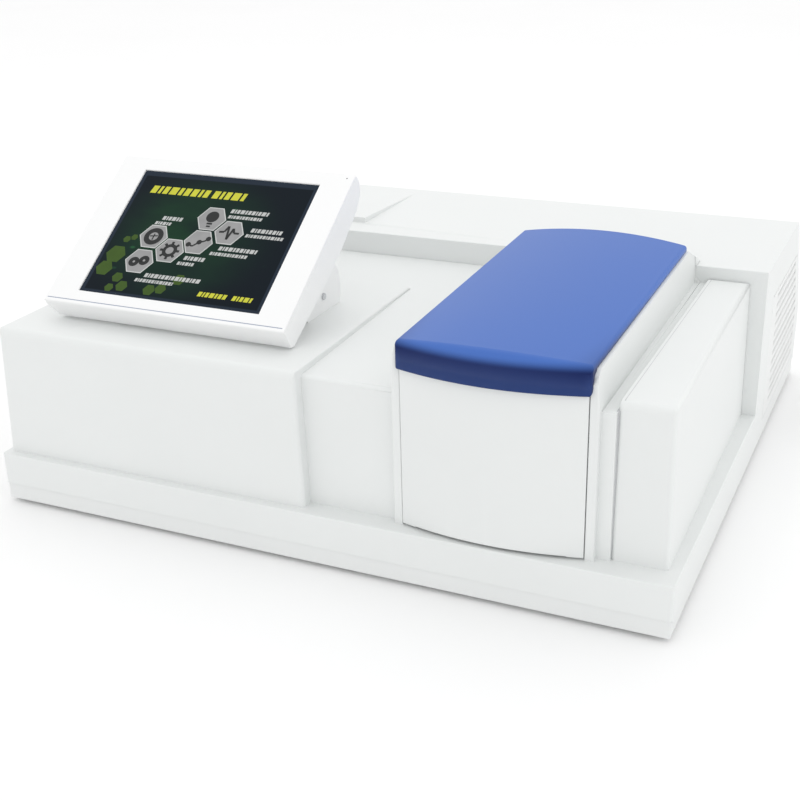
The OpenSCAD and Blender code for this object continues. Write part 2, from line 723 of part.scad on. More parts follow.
module display_stand() color("whitesmoke") cabinet() {
    difference() {
        union() {
            for (x = [stand_x0, stand_x1 - ear_t]) intersection() {
                rod_x(x, x + ear_t, pivot_y, pivot_z, ear_r);
                sweep_x(x, x + ear_t, [[pivot_y - ear_r, left_top], [pivot_y - ear_r, pivot_z + 2],
                    [pivot_y + 2, pivot_z + ear_r], [pivot_y + ear_r, pivot_z + ear_r],
                    [pivot_y + ear_r, left_top]]);
            }
            box(stand_x0, stand_x1, pivot_y - ear_r + 4, pivot_y + ear_r - 4, left_top, left_top + 3);
        }
        for (x = stand_screws()) rod_z(left_top - 1, left_top + 4, x, pivot_y, 2.2);
        rod_x(stand_x0 - 1, stand_x1 + 1, pivot_y, pivot_z, tilt_pin_r);
        box(stand_x0 + 80, stand_x1 - 80, pivot_y - 8, pivot_y + 12, left_top - 1, left_top + 4);
    }
}

module tilt_pins() color("silver") cabinet() {
    rod_x(stand_x0 - 1.5, stand_x0 + ear_t + lug_t + 3, pivot_y, pivot_z, tilt_pin_r);
    rod_x(stand_x1 - ear_t - lug_t - 3, stand_x1 + 1.5, pivot_y, pivot_z, tilt_pin_r);
    for (x = stand_screws()) {
        rod_z(left_top - 8, left_top + 3, x, pivot_y, 2.2);
        rod_z(left_top + 3, left_top + 5.5, x, pivot_y, 4);
        rod_z(left_top - wall - 4, left_top - wall, x, pivot_y, 4);
    }
}

// ---------------------------------------------------------------- fan

module fan_frame() color("dimgray") cabinet() difference() {
    union() {
        difference() {
            box(fan_x0, fan_x1, fan_y - fan_w / 2, fan_y + fan_w / 2, optic_z, optic_z + fan_w);
            rod_x(fan_x0 - 1, fan_x1 + 1, fan_y, optic_z + fan_w / 2, fan_w / 2 - 3);
        }
        rod_x(fan_x0, fan_x0 + 3, fan_y, optic_z + fan_w / 2, 17);
        for (a = [0:90:270]) translate([fan_x0, fan_y, optic_z + fan_w / 2])
            rotate([a + 45, 0, 0]) translate([0, -2, 0]) cube([3, 4, fan_w / 2 - 1]);
        rod_x(fan_x0 + 3, fan_x0 + 15, fan_y, optic_z + fan_w / 2, 2);
    }
    for (y = [-1, 1], z = [-1, 1]) rod_x(fan_x0 - 1, fan_x1 + 1, fan_y + y * (fan_w / 2 - 5),
        optic_z + fan_w / 2 + z * (fan_w / 2 - 5), 2.2);
}

module fan_rotor() color("black") cabinet() translate([fan_x0 + 3.5, fan_y, optic_z + fan_w / 2])
    rotate([0, 90, 0]) difference() {
        union() {
            cylinder(h = 19, r = 17);
            for (a = [0:360 / 7:359]) rotate([0, 0, a]) translate([15, -1, 9.5])
                rotate([38, 0, 0]) translate([0, -9, -0.8]) cube([fan_w / 2 - 20, 18, 1.6]);
        }
        translate([0, 0, -1]) cylinder(h = 14, r = 2 + run_gap);
    }

// ---------------------------------------------------------------- rear connectors

panel_face = body_d - wall;

module rear_panel() color("gray") cabinet() {
    difference() {
        box(panel_x_in - 5, panel_x_in + rear_panel_w + 5, panel_face - 2, panel_face,
            rear_panel_z - 3, rear_panel_z + rear_panel_h + 4);
        box(socket_x - 13, socket_x + 13, body_d - 9, body_d, port_z - 17, port_z + 17);
        box(switch_x - 9, switch_x + 9, body_d - 9, body_d, port_z - 13, port_z + 13);
        box(usb_x - 7, usb_x + 7, body_d - 9, body_d, port_z - 8, port_z + 8);
        box(serial_x - 10, serial_x + 10, body_d - 9, body_d, port_z - 6, port_z + 6);
        for (i = [0:4]) box(panel_x_in + 8 + i * 6, panel_x_in + 11 + i * 6, body_d - 9, body_d,
            port_z - 14, port_z + 14);
    }
    for (x = [panel_x_in + 3.5, panel_x_in + rear_panel_w - 3.5])
        rod_y(panel_face, panel_face + 1.8, x, port_z, 3);
}

drawer_w = 20;
drawer_h = 6;
drawer_z = port_z - 12;

module power_socket() color("black") cabinet() difference() {
    union() {
        box(socket_x - 13, socket_x + 13, panel_face - 24, panel_face, port_z - 17, port_z + 17);
        box(socket_x - 15, socket_x + 15, panel_face, panel_face + 2, port_z - 19, port_z + 19);
    }
    plug_cavity();
    pin_forms();
    // slot for the fuse drawer
    box(socket_x - drawer_w / 2 - 0.35, socket_x + drawer_w / 2 + 0.35, panel_face - 20,
        panel_face + 3, drawer_z - drawer_h / 2 - 0.35, drawer_z + drawer_h / 2 + 0.35);
}

module plug_cavity() sweep_y(panel_face - 16, panel_face + 3, [[socket_x - 11, port_z - 5],
    [socket_x + 11, port_z - 5], [socket_x + 11, port_z + 6], [socket_x + 7, port_z + 12],
    [socket_x - 7, port_z + 12], [socket_x - 11, port_z + 6]]);

module socket_pins() color("silver") cabinet() pin_forms();

module pin_forms() for (i = [-1:1])
    box(socket_x + i * 7 - 1, socket_x + i * 7 + 1, panel_face - 30, panel_face - 4,
        port_z + (i == 0 ? 4 : 0) - 2, port_z + (i == 0 ? 4 : 0) + 2);

module fuse_drawer() color("dimgray") cabinet() {
    box(socket_x - drawer_w / 2, socket_x + drawer_w / 2, panel_face - 19.6, panel_face + 1,
        drawer_z - drawer_h / 2, drawer_z + drawer_h / 2);
    box(socket_x - drawer_w / 2, socket_x + drawer_w / 2, panel_face + 1, panel_face + 2.4,
        drawer_z - drawer_h / 2, drawer_z + drawer_h / 2);
}

rocker_w = 12;
rocker_h = 18;

module switch_frame() color("black") cabinet() difference() {
    union() {
        box(switch_x - 9, switch_x + 9, panel_face - 22, panel_face, port_z - 13, port_z + 13);
        box(switch_x - 10.5, switch_x + 10.5, panel_face, panel_face + 1.5, port_z - 15, port_z + 15);
    }
    box(switch_x - rocker_w / 2 - 0.4, switch_x + rocker_w / 2 + 0.4, panel_face - 14,
        panel_face + 2, port_z - rocker_h / 2 - 1, port_z + rocker_h / 2 + 1);
    rod_x(switch_x - 8.5, switch_x + 8.5, panel_face - 3, port_z, 1.5);
}

module power_rocker() color("darkgreen") cabinet() translate([0, panel_face - 3, port_z])
    rotate([8, 0, 0]) {
        sweep_x(switch_x - rocker_w / 2, switch_x + rocker_w / 2, [[-6, -3], [-6, 3],
            [2, rocker_h / 2 - 0.6], [3.8, rocker_h / 2 - 0.8], [2.6, 0], [3.8, 0.8 - rocker_h / 2],
            [2, 0.6 - rocker_h / 2]]);
        rod_x(switch_x - 8.2, switch_x + 8.2, 0, 0, 1.5 - run_gap);
    }

module usb_port() color("silver") cabinet() difference() {
    box(usb_x - 7, usb_x + 7, panel_face - 16, panel_face + 0.8, port_z - 8, port_z + 8);
    for (z = [-4, 4]) box(usb_x - 6.2, usb_x + 6.2, panel_face - 13, panel_face + 2,
        port_z + z - 2.5, port_z + z + 2.5);
}

module serial_port() color("silver") cabinet() difference() {
    union() {
        box(serial_x - 10, serial_x + 10, panel_face - 14, panel_face + 0.8, port_z - 6, port_z + 6);
        box(serial_x - 15.5, serial_x + 15.5, panel_face, panel_face + 0.8, port_z - 6.2, port_z + 6.2);
    }
    box(serial_x - 8.5, serial_x + 8.5, panel_face - 5, panel_face + 2, port_z - 4.4, port_z + 4.4);
}

// ---------------------------------------------------------------- optics

module optical_base() color("gray") cabinet() difference() {
    translate([0, 0, plate_z]) linear_extrude(plate_t) polygon([[mono_x0 - 8, rear_front + 10],
        [300, rear_front + 10], [300, plate_y0], [right_x1 - 8, plate_y0], [right_x1 - 8, rear_front + 10],
        [fan_x1 + 1, rear_front + 10], [fan_x1 + 1, rear_top_y - 2], [mono_x0 - 8, rear_top_y - 2]]);
    for (p = plate_posts()) rod_z(plate_z - 1, optic_z + 1, p[0], p[1], 2.2);
}

function plate_posts() = [[mono_x0 + 40, rear_front + 14], [mono_x0 + 40, rear_top_y - 5],
    [fan_x1 - 60, rear_top_y - 5], [312, plate_y0 + 12], [right_x1 - 20, plate_y0 + 8]];
function board_posts() = [for (x = [board_x0 + 8, board_x1 - 8], y = [board_y0 + 8, board_y1 - 8]) [x, y]];

module base_standoffs() color("silver") cabinet() {
    for (p = plate_posts()) {
        rod_z(floor_z, plate_z, p[0], p[1], 5);
        rod_z(plate_z, optic_z, p[0], p[1], 2.2);
    }
    for (p = board_posts()) {
        rod_z(floor_z, board_z, p[0], p[1], 4);
        rod_z(board_z, board_z + 1.6, p[0], p[1], 1.6);
        rod_z(board_z + 1.6, board_z + 3.4, p[0], p[1], 3);
    }
}

entrance_y = wheel_y;

module lamp_house() color("silver") cabinet() difference() {
    box(lamp_x0, lamp_x1, lamp_y0, lamp_y1, optic_z, lamp_top);
    box(lamp_x0 + 3, lamp_x1 - 3, lamp_y0 + 3, lamp_y1 - 3, optic_z - 1, lamp_top - 3);
    rod_x(lamp_x0 - 1, lamp_x0 + 4, entrance_y, beam_z, 7);
    for (i = [0:6]) box(lamp_x0 + 14, lamp_x1 - 14, lamp_y0 + 12 + i * 11, lamp_y0 + 16 + i * 11,
        lamp_top - 4, lamp_top + 1);
}

module deuterium_lamp() color("lightblue") cabinet() {
    rod_z(optic_z, optic_z + 26, lamp_x1 - 28, lamp_y0 + 26, 15);
    rod_z(optic_z + 26, optic_z + 80, lamp_x1 - 28, lamp_y0 + 26, 13);
}

module tungsten_lamp() color("gold") cabinet() {
    rod_z(optic_z, optic_z + 44, lamp_x1 - 26, lamp_y1 - 22, 9);
    rod_z(optic_z + 44, optic_z + 72, lamp_x1 - 26, lamp_y1 - 22, 5.5);
    translate([lamp_x1 - 26, lamp_y1 - 22, optic_z + 72]) sphere(r = 5.5);
}

mirror_x = lamp_x0 + 26;

module source_mirror() color("silver") cabinet() translate([mirror_x, entrance_y, 0])
    rotate([0, 0, -18]) {
        rod_z(optic_z + 0.4, beam_z - 16, 0, 0, 6);
        rod_z(beam_z - 16, beam_z - 13, 0, 0, 14);
        box(-2, 2, -13, 13, beam_z - 13, beam_z + 16);
    }

module filter_wheel() color("dimgray") cabinet() difference() {
    union() {
        rod_x(wheel_x - 1.5, wheel_x + 1.5, wheel_y, beam_z - 16, wheel_r);
        rod_x(wheel_x - 4, wheel_x + 4, wheel_y, beam_z - 16, 6);
    }
    for (a = [0:60:300]) translate([wheel_x - 2, wheel_y, beam_z - 16]) rotate([a, 0, 0])
        translate([0, 0, 16]) rotate([0, 90, 0]) cylinder(h = 4, r = 5);
    rod_x(wheel_x - 5, wheel_x + 5, wheel_y, beam_z - 16, 2.5 + run_gap);
}

module wheel_motor() color("gray") cabinet() {
    rod_x(wheel_x + 4.5, lamp_x0, wheel_y, beam_z - 16, 14);
    rod_x(wheel_x - 6, wheel_x + 4.5, wheel_y, beam_z - 16, 2.5);
    box(wheel_x + 6, lamp_x0, wheel_y - 10, wheel_y + 10, optic_z, beam_z - 24);
}

module monochromator_case() color("gray") cabinet() difference() {
    box(mono_x0, mono_x1, mono_y0, mono_y1, optic_z, mono_top);
    box(mono_x0 + case_t, mono_x1 - case_t, mono_y0 + case_t, mono_y1 - case_t,
        optic_z + 3, mono_top + 1);
    box(mono_x1 - case_t - 1, mono_x1 + 1, entrance_y - 1, entrance_y + 1, beam_z - 8, beam_z + 8);
    box(chopper_x - 1, chopper_x + 1, mono_y0 - 1, mono_y0 + case_t + 1, beam_z - 8, beam_z + 8);
}

module monochromator_lid() color("silver") cabinet() {
    box(mono_x0, mono_x1, mono_y0, mono_y1, mono_top, mono_top + 3);
    for (x = [mono_x0 + 8, (mono_x0 + mono_x1) / 2, mono_x1 - 8], y = [mono_y0 + 8, mono_y1 - 8])
        rod_z(mono_top + 3, mono_top + 5, x, y, 3);
}

module concave_mirrors() color("silver") cabinet() for (y = [mono_y0 + 38, mono_y1 - 42]) {
    difference() {
        rod_x(mono_x0 + 10, mono_x0 + 20, y, beam_z, 24);
        translate([mono_x0 + 20 + 116, y, beam_z]) sphere(r = 120, $fn = 96);
    }
    box(mono_x0 + 8, mono_x0 + 16, y - 12, y + 12, optic_z + 3, beam_z);
}

table_z = optic_z + 40;
table_x = mono_x1 - 96;

module grating_motor() color("dimgray") cabinet() {
    box(table_x - 20, table_x + 20, grating_y - 20, grating_y + 20, optic_z + 3, table_z - 3);
    rod_z(table_z - 3, table_z + 3, table_x, grating_y, 3);
}

module grating_table() color("silver") cabinet() difference() {
    union() {
        rod_z(table_z, table_z + 5, table_x, grating_y, 22);
        box(table_x + 4, table_x + 12, grating_y - 15, grating_y + 15, table_z + 5, table_z + 44);
    }
    rod_z(table_z - 1, table_z + 3.4, table_x, grating_y, 3 + run_gap);
}

module diffraction_grating() color("cyan") cabinet()
    box(table_x - 2, table_x + 4, grating_y - 13, grating_y + 13, table_z + 8, table_z + 42);

chopper_y = mono_y0 - 42;
chopper_cx = chopper_x - 25;

module chopper_disc() color("silver") cabinet() difference() {
    union() {
        rod_y(chopper_y - 1, chopper_y + 1, chopper_cx, beam_z, chopper_r);
        rod_y(chopper_y - 4, chopper_y + 4, chopper_cx, beam_z, 7);
    }
    for (a = [0, 180]) intersection() {
        rod_y(chopper_y - 2, chopper_y + 2, chopper_cx, beam_z, chopper_r - 3);
        translate([chopper_cx, chopper_y, beam_z]) rotate([0, a, 0])
            sweep_y(-3, 3, [[8, -8], [8, 8], [40, 34], [40, -34]]);
    }
    rod_y(chopper_y - 5, chopper_y + 5, chopper_cx, beam_z, 2.5 + run_gap);
}

module chopper_motor() color("dimgray") cabinet() {
    rod_y(chopper_y - 34, chopper_y - 4.5, chopper_cx, beam_z, 16);
    rod_y(chopper_y - 4.5, chopper_y + 6, chopper_cx, beam_z, 2.5);
    box(chopper_cx - 12, chopper_cx + 12, chopper_y - 30, chopper_y - 8, optic_z, beam_z - 8);
}

module beam_mirrors() color("silver") cabinet() for (y = [sample_y, reference_y]) {
    translate([chopper_x, y, 0]) rotate([0, 0, 45]) {
        box(-17, 17, 0, 4, beam_z - 16, beam_z + 16);
        box(-10, 10, 0, 8, optic_z, beam_z - 16);
    }
}

module detector_case() color("gray") cabinet() difference() {
    box(detector_x0, detector_x1, sample_y - 14, reference_y + 14, optic_z, beam_z + 46);
    beam_ports(8, detector_x0 - 1, detector_x0 + 5);
    box(detector_x0 + 4, detector_x1 - 3, sample_y - 10, reference_y + 10, beam_z - 34, beam_z + 42);
}

module photomultiplier() color("black") cabinet() {
    rod_z(beam_z - 34, beam_z - 20, (detector_x0 + detector_x1) / 2, detector_y, 10);
    rod_z(beam_z - 20, beam_z + 36, (detector_x0 + detector_x1) / 2, detector_y, 9);
}

// ---------------------------------------------------------------- electronics

module power_supply() color("silver") cabinet() difference() {
    box(supply_x0, supply_x1, supply_y0, supply_y1, floor_z, floor_z + 62);
    box(supply_x0 + 2, supply_x1 - 2, supply_y0 - 1, supply_y1 - 2, floor_z + 2, floor_z + 60);
    for (i = [0:11], j = [0:2]) rod_z(floor_z + 58, floor_z + 64, supply_x0 + 22 + j * 30,
        supply_y0 + 16 + i * 12, 3.5);
}

module main_board() color("green") cabinet() difference() {
    box(board_x0, board_x1, board_y0, board_y1, board_z, board_z + 1.6);
    for (p = board_posts()) rod_z(board_z - 1, board_z + 3, p[0], p[1], 1.6);
}

module board_parts() color("black") cabinet() {
    z = board_z + 1.6;
    box(board_x0 + 30, board_x0 + 66, board_y0 + 40, board_y0 + 76, z, z + 3);
    for (i = [0:5]) box(board_x0 + 33 + i * 5.6, board_x0 + 35 + i * 5.6, board_y0 + 42,
        board_y0 + 74, z + 3, z + 16);
    for (i = [0:3]) box(board_x0 + 96 + i * 24, board_x0 + 112 + i * 24, board_y0 + 44,
        board_y0 + 70, z, z + 2.5);
    for (i = [0:4]) rod_z(z, z + 14, board_x0 + 34 + i * 14, board_y1 - 34, 5);
    for (i = [0:2]) box(board_x0 + 110 + i * 30, board_x0 + 132 + i * 30, board_y1 - 16,
        board_y1 - 8, z, z + 9);
    box(board_x0 + 112, board_x0 + 150, board_y0 + 92, board_y0 + 122, z, z + 12);
}

// ---------------------------------------------------------------- assembly

bottom_tray();
feet();
foot_screws();
plinth_frame();
left_cover();
rear_cover();
right_cover();
sample_housing();
side_grille();
fan_frame();
fan_rotor();
rear_panel();
power_socket();
socket_pins();
fuse_drawer();
switch_frame();
power_rocker();
usb_port();
serial_port();
optical_base();
base_standoffs();
lamp_house();
deuterium_lamp();
tungsten_lamp();
source_mirror();
filter_wheel();
wheel_motor();
monochromator_case();
monochromator_lid();
concave_mirrors();
grating_table();
diffraction_grating();
grating_motor();
chopper_disc();
chopper_motor();
beam_mirrors();
detector_case();
photomultiplier();
power_supply();
main_board();
board_parts();
sample_tub();
beam_windows();
cell_holders();
holder_plate();
sample_cuvette();
reference_cuvette();
lid_seal();
lid();
lid_liner();
lid_hinge_leaves();
hinge_pins();
front_panel();
panel_catches();
display_case();
display_bezel();
touch_glass();
display_panel();
display_stand();
tilt_pins();
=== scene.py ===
import logging
import math
from dataclasses import dataclass
from enum import Enum
from typing import Callable, Dict, Iterable, List, Optional, Sequence, Tuple, Union

import bmesh
import bpy
from mathutils import Matrix, Vector


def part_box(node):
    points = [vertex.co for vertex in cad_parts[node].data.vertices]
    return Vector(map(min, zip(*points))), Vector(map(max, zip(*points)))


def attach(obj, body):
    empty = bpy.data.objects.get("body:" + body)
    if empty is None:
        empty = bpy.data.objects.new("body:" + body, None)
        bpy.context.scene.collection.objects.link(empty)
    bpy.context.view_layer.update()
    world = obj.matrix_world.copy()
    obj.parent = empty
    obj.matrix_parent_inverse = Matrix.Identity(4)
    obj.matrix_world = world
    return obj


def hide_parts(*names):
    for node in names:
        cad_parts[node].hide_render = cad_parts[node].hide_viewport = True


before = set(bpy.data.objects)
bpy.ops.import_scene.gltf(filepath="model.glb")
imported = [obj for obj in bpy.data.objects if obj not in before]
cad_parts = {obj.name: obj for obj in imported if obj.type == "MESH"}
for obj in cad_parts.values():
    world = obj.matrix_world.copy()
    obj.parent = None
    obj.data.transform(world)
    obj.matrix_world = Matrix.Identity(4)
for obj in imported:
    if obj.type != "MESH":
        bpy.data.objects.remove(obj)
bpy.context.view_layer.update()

LOG = logging.getLogger("spectrophotometer")
Colour = Tuple[float, float, float]
Point = Tuple[float, float, float]
Flat = Tuple[float, float]


class Ride(Enum):
    """The rigid bodies that the new pieces ride on."""

    CABINET = "cabinet"
    LID = "lid"
    FRONT_PANEL = "front_panel"
    DISPLAY = "display"
    FAN = "fan_rotor"
    ROCKER = "power_rocker"
    SAMPLE_CELL = "sample_cuvette"
    REFERENCE_CELL = "reference_cuvette"


# ------------------------------------------------------------------ shader maths


class Wire:
    """One output of a shader node, on which arithmetic can be written."""

    def __init__(self, sheet: "Sheet", socket: bpy.types.NodeSocket) -> None:
        """Keeps the output and the sheet that it is drawn on."""
        self.sheet = sheet
        self.socket = socket

    def _maths(self, operation: str, *terms: "Number") -> "Wire":
        """Adds a Math node.

        Args:
            operation: The Math node's operation.
            terms: Its inputs, in order.

        Returns:
            The node's result.
        """
        made = self.sheet.node("ShaderNodeMath", {"operation": operation}, dict(enumerate(terms)))
        return Wire(self.sheet, made.outputs[0])

    def __add__(self, other: "Number") -> "Wire":
        """The sum."""
        return self._maths("ADD", self, other)

    def __sub__(self, other: "Number") -> "Wire":
        """The difference."""
        return self._maths("SUBTRACT", self, other)

    def __rsub__(self, other: "Number") -> "Wire":
        """The difference, the other way round."""
        return self._maths("SUBTRACT", other, self)

    def __mul__(self, other: "Number") -> "Wire":
        """The product."""
        return self._maths("MULTIPLY", self, other)

    def __pow__(self, other: "Number") -> "Wire":
        """The power."""
        return self._maths("POWER", self, other)

    __radd__ = __add__
    __rmul__ = __mul__

    def smooth(self, low: float, high: float) -> "Wire":
        """Rises smoothly from 0 to 1 between two values.

        Args:
            low: Where it starts to rise.
            high: Where it reaches 1.

        Returns:
            The smoothed mask.
        """
        made = self.sheet.node(
            "ShaderNodeMapRange",
            {"interpolation_type": "SMOOTHSTEP"},
            {"Value": self, "From Min": low, "From Max": high},
        )
        return Wire(self.sheet, made.outputs["Result"])


Number = Union[Wire, float]


class Sheet:
    """The node sheet of one material, ending in a Principled surface."""

    def __init__(self, name: str) -> None:
        """Starts an empty material of that name."""
        self.material = bpy.data.materials.new(name)
        self.material.use_nodes = True
        self.tree = self.material.node_tree
        self.tree.nodes.clear()

    def node(
        self,
        kind: str,
        settings: Optional[Dict[str, object]] = None,
        sockets: Optional[Dict[Union[str, int], object]] = None,
    ) -> bpy.types.Node:
        """Adds a node, sets it up and feeds its inputs.

        Args:
            kind: The node's type.
            settings: Properties to set first; "stops" is a ramp's list of (place, colour).
            sockets: Values or wires for its inputs, by name or index.

        Returns:
            The node.
        """
        made = self.tree.nodes.new(kind)
        for key, value in (settings or {}).items():
            if key == "stops":
                ramp = made.color_ramp
                while len(ramp.elements) < len(value):
                    ramp.elements.new(0.5)
                for element, (place, colour) in zip(ramp.elements, value):
                    element.position, element.color = place, (*colour, 1.0)
            else:
                setattr(made, key, value)
        for key, value in (sockets or {}).items():
            if isinstance(value, Wire):
                self.tree.links.new(value.socket, made.inputs[key])
            else:
                made.inputs[key].default_value = value
        return made

    def place(self, stretch: Point = (1.0, 1.0, 1.0)) -> Wire:
        """The point on the piece, in metres.

        Args:
            stretch: Factors on the three axes.

        Returns:
            The vector.
        """
        at = Wire(self, self.node("ShaderNodeTexCoord").outputs["Object"])
        if stretch == (1.0, 1.0, 1.0):
            return at
        made = self.node("ShaderNodeVectorMath", {"operation": "MULTIPLY"}, {0: at, 1: stretch})
        return Wire(self, made.outputs[0])

    def axis(self, vector: Wire, index: int) -> Wire:
        """One part of a vector.

        Args:
            vector: The vector.
            index: 0, 1 or 2.

        Returns:
            That part.
        """
        return Wire(self, self.node("ShaderNodeSeparateXYZ", None, {0: vector}).outputs[index])

    def cloud(self, at: Wire, size: float, detail: float = 2.0, rough: float = 0.5) -> Wire:
        """Soft noise, from 0 to 1.

        Args:
            at: Where on the surface.
            size: The size of its patches, in metres.
            detail: How many finer layers it has.
            rough: How strong those are.

        Returns:
            The noise.
        """
        made = self.node(
            "ShaderNodeTexNoise",
            None,
            {"Vector": at, "Scale": 1.0 / size, "Detail": detail, "Roughness": rough},
        )
        return Wire(self, made.outputs[0])

    def cells(self, at: Wire, size: float, spread: float = 1.0) -> bpy.types.Node:
        """A cell pattern.

        Args:
            at: Where on the surface.
            size: The size of a cell, in metres.
            spread: How irregular the cells are.

        Returns:
            The Voronoi node.
        """
        return self.node(
            "ShaderNodeTexVoronoi", None, {"Vector": at, "Scale": 1.0 / size, "Randomness": spread}
        )

    def edges(self) -> Wire:
        """How much the surface turns outwards, about 0.5 on a flat face."""
        return Wire(self, self.node("ShaderNodeNewGeometry").outputs["Pointiness"])

    def blend(self, mask: Number, low: object, high: object) -> Wire:
        """Mixes two colours.

        Args:
            mask: 0 for the first, 1 for the second.
            low: The first colour or wire.
            high: The second colour or wire.

        Returns:
            The mixed colour.
        """
        ends = [value if isinstance(value, Wire) else (*value, 1.0) for value in (low, high)]
        made = self.node(
            "ShaderNodeMix", {"data_type": "RGBA"}, {0: mask, 6: ends[0], 7: ends[1]}
        )
        return Wire(self, made.outputs[2])

    def relief(self, height: Wire, depth: float, under: Optional[Wire] = None) -> Wire:
        """Turns heights into a normal.

        Args:
            height: The height, from 0 to 1.
            depth: What a height of 1 stands for, in metres.
            under: A coarser relief that this lies on.

        Returns:
            The normal.
        """
        sockets: Dict[Union[str, int], object] = {
            "Height": height,
            "Distance": depth,
            "Strength": 1.0,
        }
        if under is not None:
            sockets["Normal"] = under
        return Wire(self, self.node("ShaderNodeBump", None, sockets).outputs[0])

    def surface(self, sockets: Dict[str, object]) -> bpy.types.Material:
        """Ends the sheet in a Principled surface.

        Args:
            sockets: Its inputs, by name.

        Returns:
            The finished material.
        """
        fixed = {
            key: (*value, 1.0) if isinstance(value, tuple) and len(value) == 3 else value
            for key, value in sockets.items()
        }
        shader = self.node("ShaderNodeBsdfPrincipled", None, fixed)
        self.node("ShaderNodeOutputMaterial", None, {0: Wire(self, shader.outputs[0])})
        return self.material


def tone(colour: Colour, factor: float) -> Colour:
    """A lighter or darker version of a colour.

    Args:
        colour: The colour.
        factor: What to multiply it by.

    Returns:
        The new colour, held between 0 and 1.
    """
    return tuple(min(1.0, max(0.0, part * factor)) for part in colour)


# ------------------------------------------------------------------ finishes


@dataclass(frozen=True)
class Moulded:
    """Moulded or painted plastic with a fine grain and slightly worn edges."""

    name: str
    slot: str
    colour: Colour
    roughness: float = 0.42
    grain: float = 0.0007
    depth: float = 0.000012
    drift: float = 0.02
    wear: float = 0.05
    coat: float = 0.0

    def make(self) -> bpy.types.Material:
        """Builds the material."""
        sheet = Sheet(self.name)
        at = sheet.place()
        patches = sheet.cloud(at, 0.09, 3.0)
        grain = sheet.cloud(at, self.grain, 2.0, 0.6)
        pits = sheet.cloud(at, self.grain * 4.0, 1.0)
        colour = sheet.blend(
            patches, tone(self.colour, 1.0 - self.drift), tone(self.colour, 1.0 + self.drift)
        )
        rim = sheet.edges().smooth(0.53, 0.62) * self.wear
        colour = sheet.blend(rim, colour, tone(self.colour, 1.25))
        roughness = self.roughness + (patches - 0.5) * 0.08 + (grain - 0.5) * 0.06
        normal = sheet.relief(grain, self.depth, sheet.relief(pits, self.depth * 1.5))
        return sheet.surface(
            {
                "Base Color": colour,
                "Roughness": roughness,
                "Normal": normal,
                "Coat Weight": self.coat,
                "Coat Roughness": 0.2,
                "IOR": 1.46,
            }
        )


@dataclass(frozen=True)
class LidPlastic:
    """The lid's blue plastic, with painted shade that makes the upright lip darker than the crown, and a
    painted highlight on its rounded edges.
    """

    name: str
    slot: str
    # crown is the lit blue of the top; lip is a darker copy of it, painted shade for the upright lip.
    crown: Colour
    lip: Colour
    lip_shade_low: float
    lip_shade_high: float

    def make(self) -> bpy.types.Material:
        """Builds the material."""
        sheet = Sheet(self.name)
        at = sheet.place()
        patches = sheet.cloud(at, 0.12, 2.0)
        grain = sheet.cloud(at, 0.0009, 2.0, 0.6)
        # Painted shade: below this height band the lid takes the darker lip colour instead of the crown's
        # blue.
        height = sheet.axis(at, 2).smooth(self.lip_shade_low, self.lip_shade_high)
        colour = sheet.blend(height, self.lip, self.crown)
        colour = sheet.blend(patches * height * 0.25, colour, tone(self.crown, 1.12))
        # Painted highlight: the rounded edges are blended towards a much brighter blue.
        rim = sheet.edges().smooth(0.52, 0.6) * 0.12
        colour = sheet.blend(rim, colour, tone(self.crown, 1.9))
        return sheet.surface(
            {
                "Base Color": colour,
                "Roughness": 0.36 + (patches - 0.5) * 0.06 + (grain - 0.5) * 0.05,
                "Normal": sheet.relief(grain, 0.00001),
                "Specular IOR Level": 0.12,
                "Coat Weight": height * 0.1 + rim * 2.0,
                "Coat Roughness": 0.3,
            }
        )


@dataclass(frozen=True)
class Metal:
    """Bare or plated metal with brushing along one axis and faint handling marks."""

    name: str
    slot: str
    colour: Colour
    roughness: float = 0.3
    brushing: Point = (1.0, 30.0, 30.0)
    depth: float = 0.000015

    def make(self) -> bpy.types.Material:
        """Builds the material."""
        sheet = Sheet(self.name)
        lines = sheet.cloud(sheet.place(self.brushing), 0.02, 3.0, 0.7)
        marks = sheet.cloud(sheet.place(), 0.03, 4.0, 0.6)
        colour = sheet.blend(lines, tone(self.colour, 0.9), tone(self.colour, 1.06))
        colour = sheet.blend(marks.smooth(0.55, 0.75) * 0.2, colour, tone(self.colour, 0.75))
        return sheet.surface(
            {
                "Base Color": colour,
                "Metallic": 1.0,
                "Roughness": self.roughness + (lines - 0.5) * 0.15 + (marks - 0.5) * 0.12,
                "Normal": sheet.relief(lines, self.depth),
            }
        )


@dataclass(frozen=True)
class Soft:
    """Rubber or foam: dull, dusty in patches and finely pitted."""

    name: str
    slot: str
    colour: Colour
    pit: float = 0.0012
    depth: float = 0.00005

    def make(self) -> bpy.types.Material:
        """Builds the material."""
        sheet = Sheet(self.name)
        at = sheet.place()
        pits = sheet.cloud(at, self.pit, 3.0, 0.65)
        dust = sheet.cloud(at, 0.02, 4.0).smooth(0.5, 0.8)
        return sheet.surface(
            {
                "Base Color": sheet.blend(dust * 0.35, self.colour, tone(self.colour, 2.2)),
                "Roughness": 0.78 + (pits - 0.5) * 0.2,
                "Normal": sheet.relief(pits, self.depth),
            }
        )


@dataclass(frozen=True)
class Quartz:
    """Clear polished glass with faint smears."""

    name: str
    slot: str
    colour: Colour
    index: float = 1.46

    def make(self) -> bpy.types.Material:
        """Builds the material."""
        sheet = Sheet(self.name)
        smears = sheet.cloud(sheet.place((1.0, 1.0, 0.3)), 0.01, 3.0)
        return sheet.surface(
            {
                "Base Color": sheet.blend(smears, self.colour, tone(self.colour, 0.95)),
                "Roughness": smears.smooth(0.5, 0.8) * 0.06 + 0.02,
                "IOR": self.index,
                "Transmission Weight": 1.0,
            }
        )


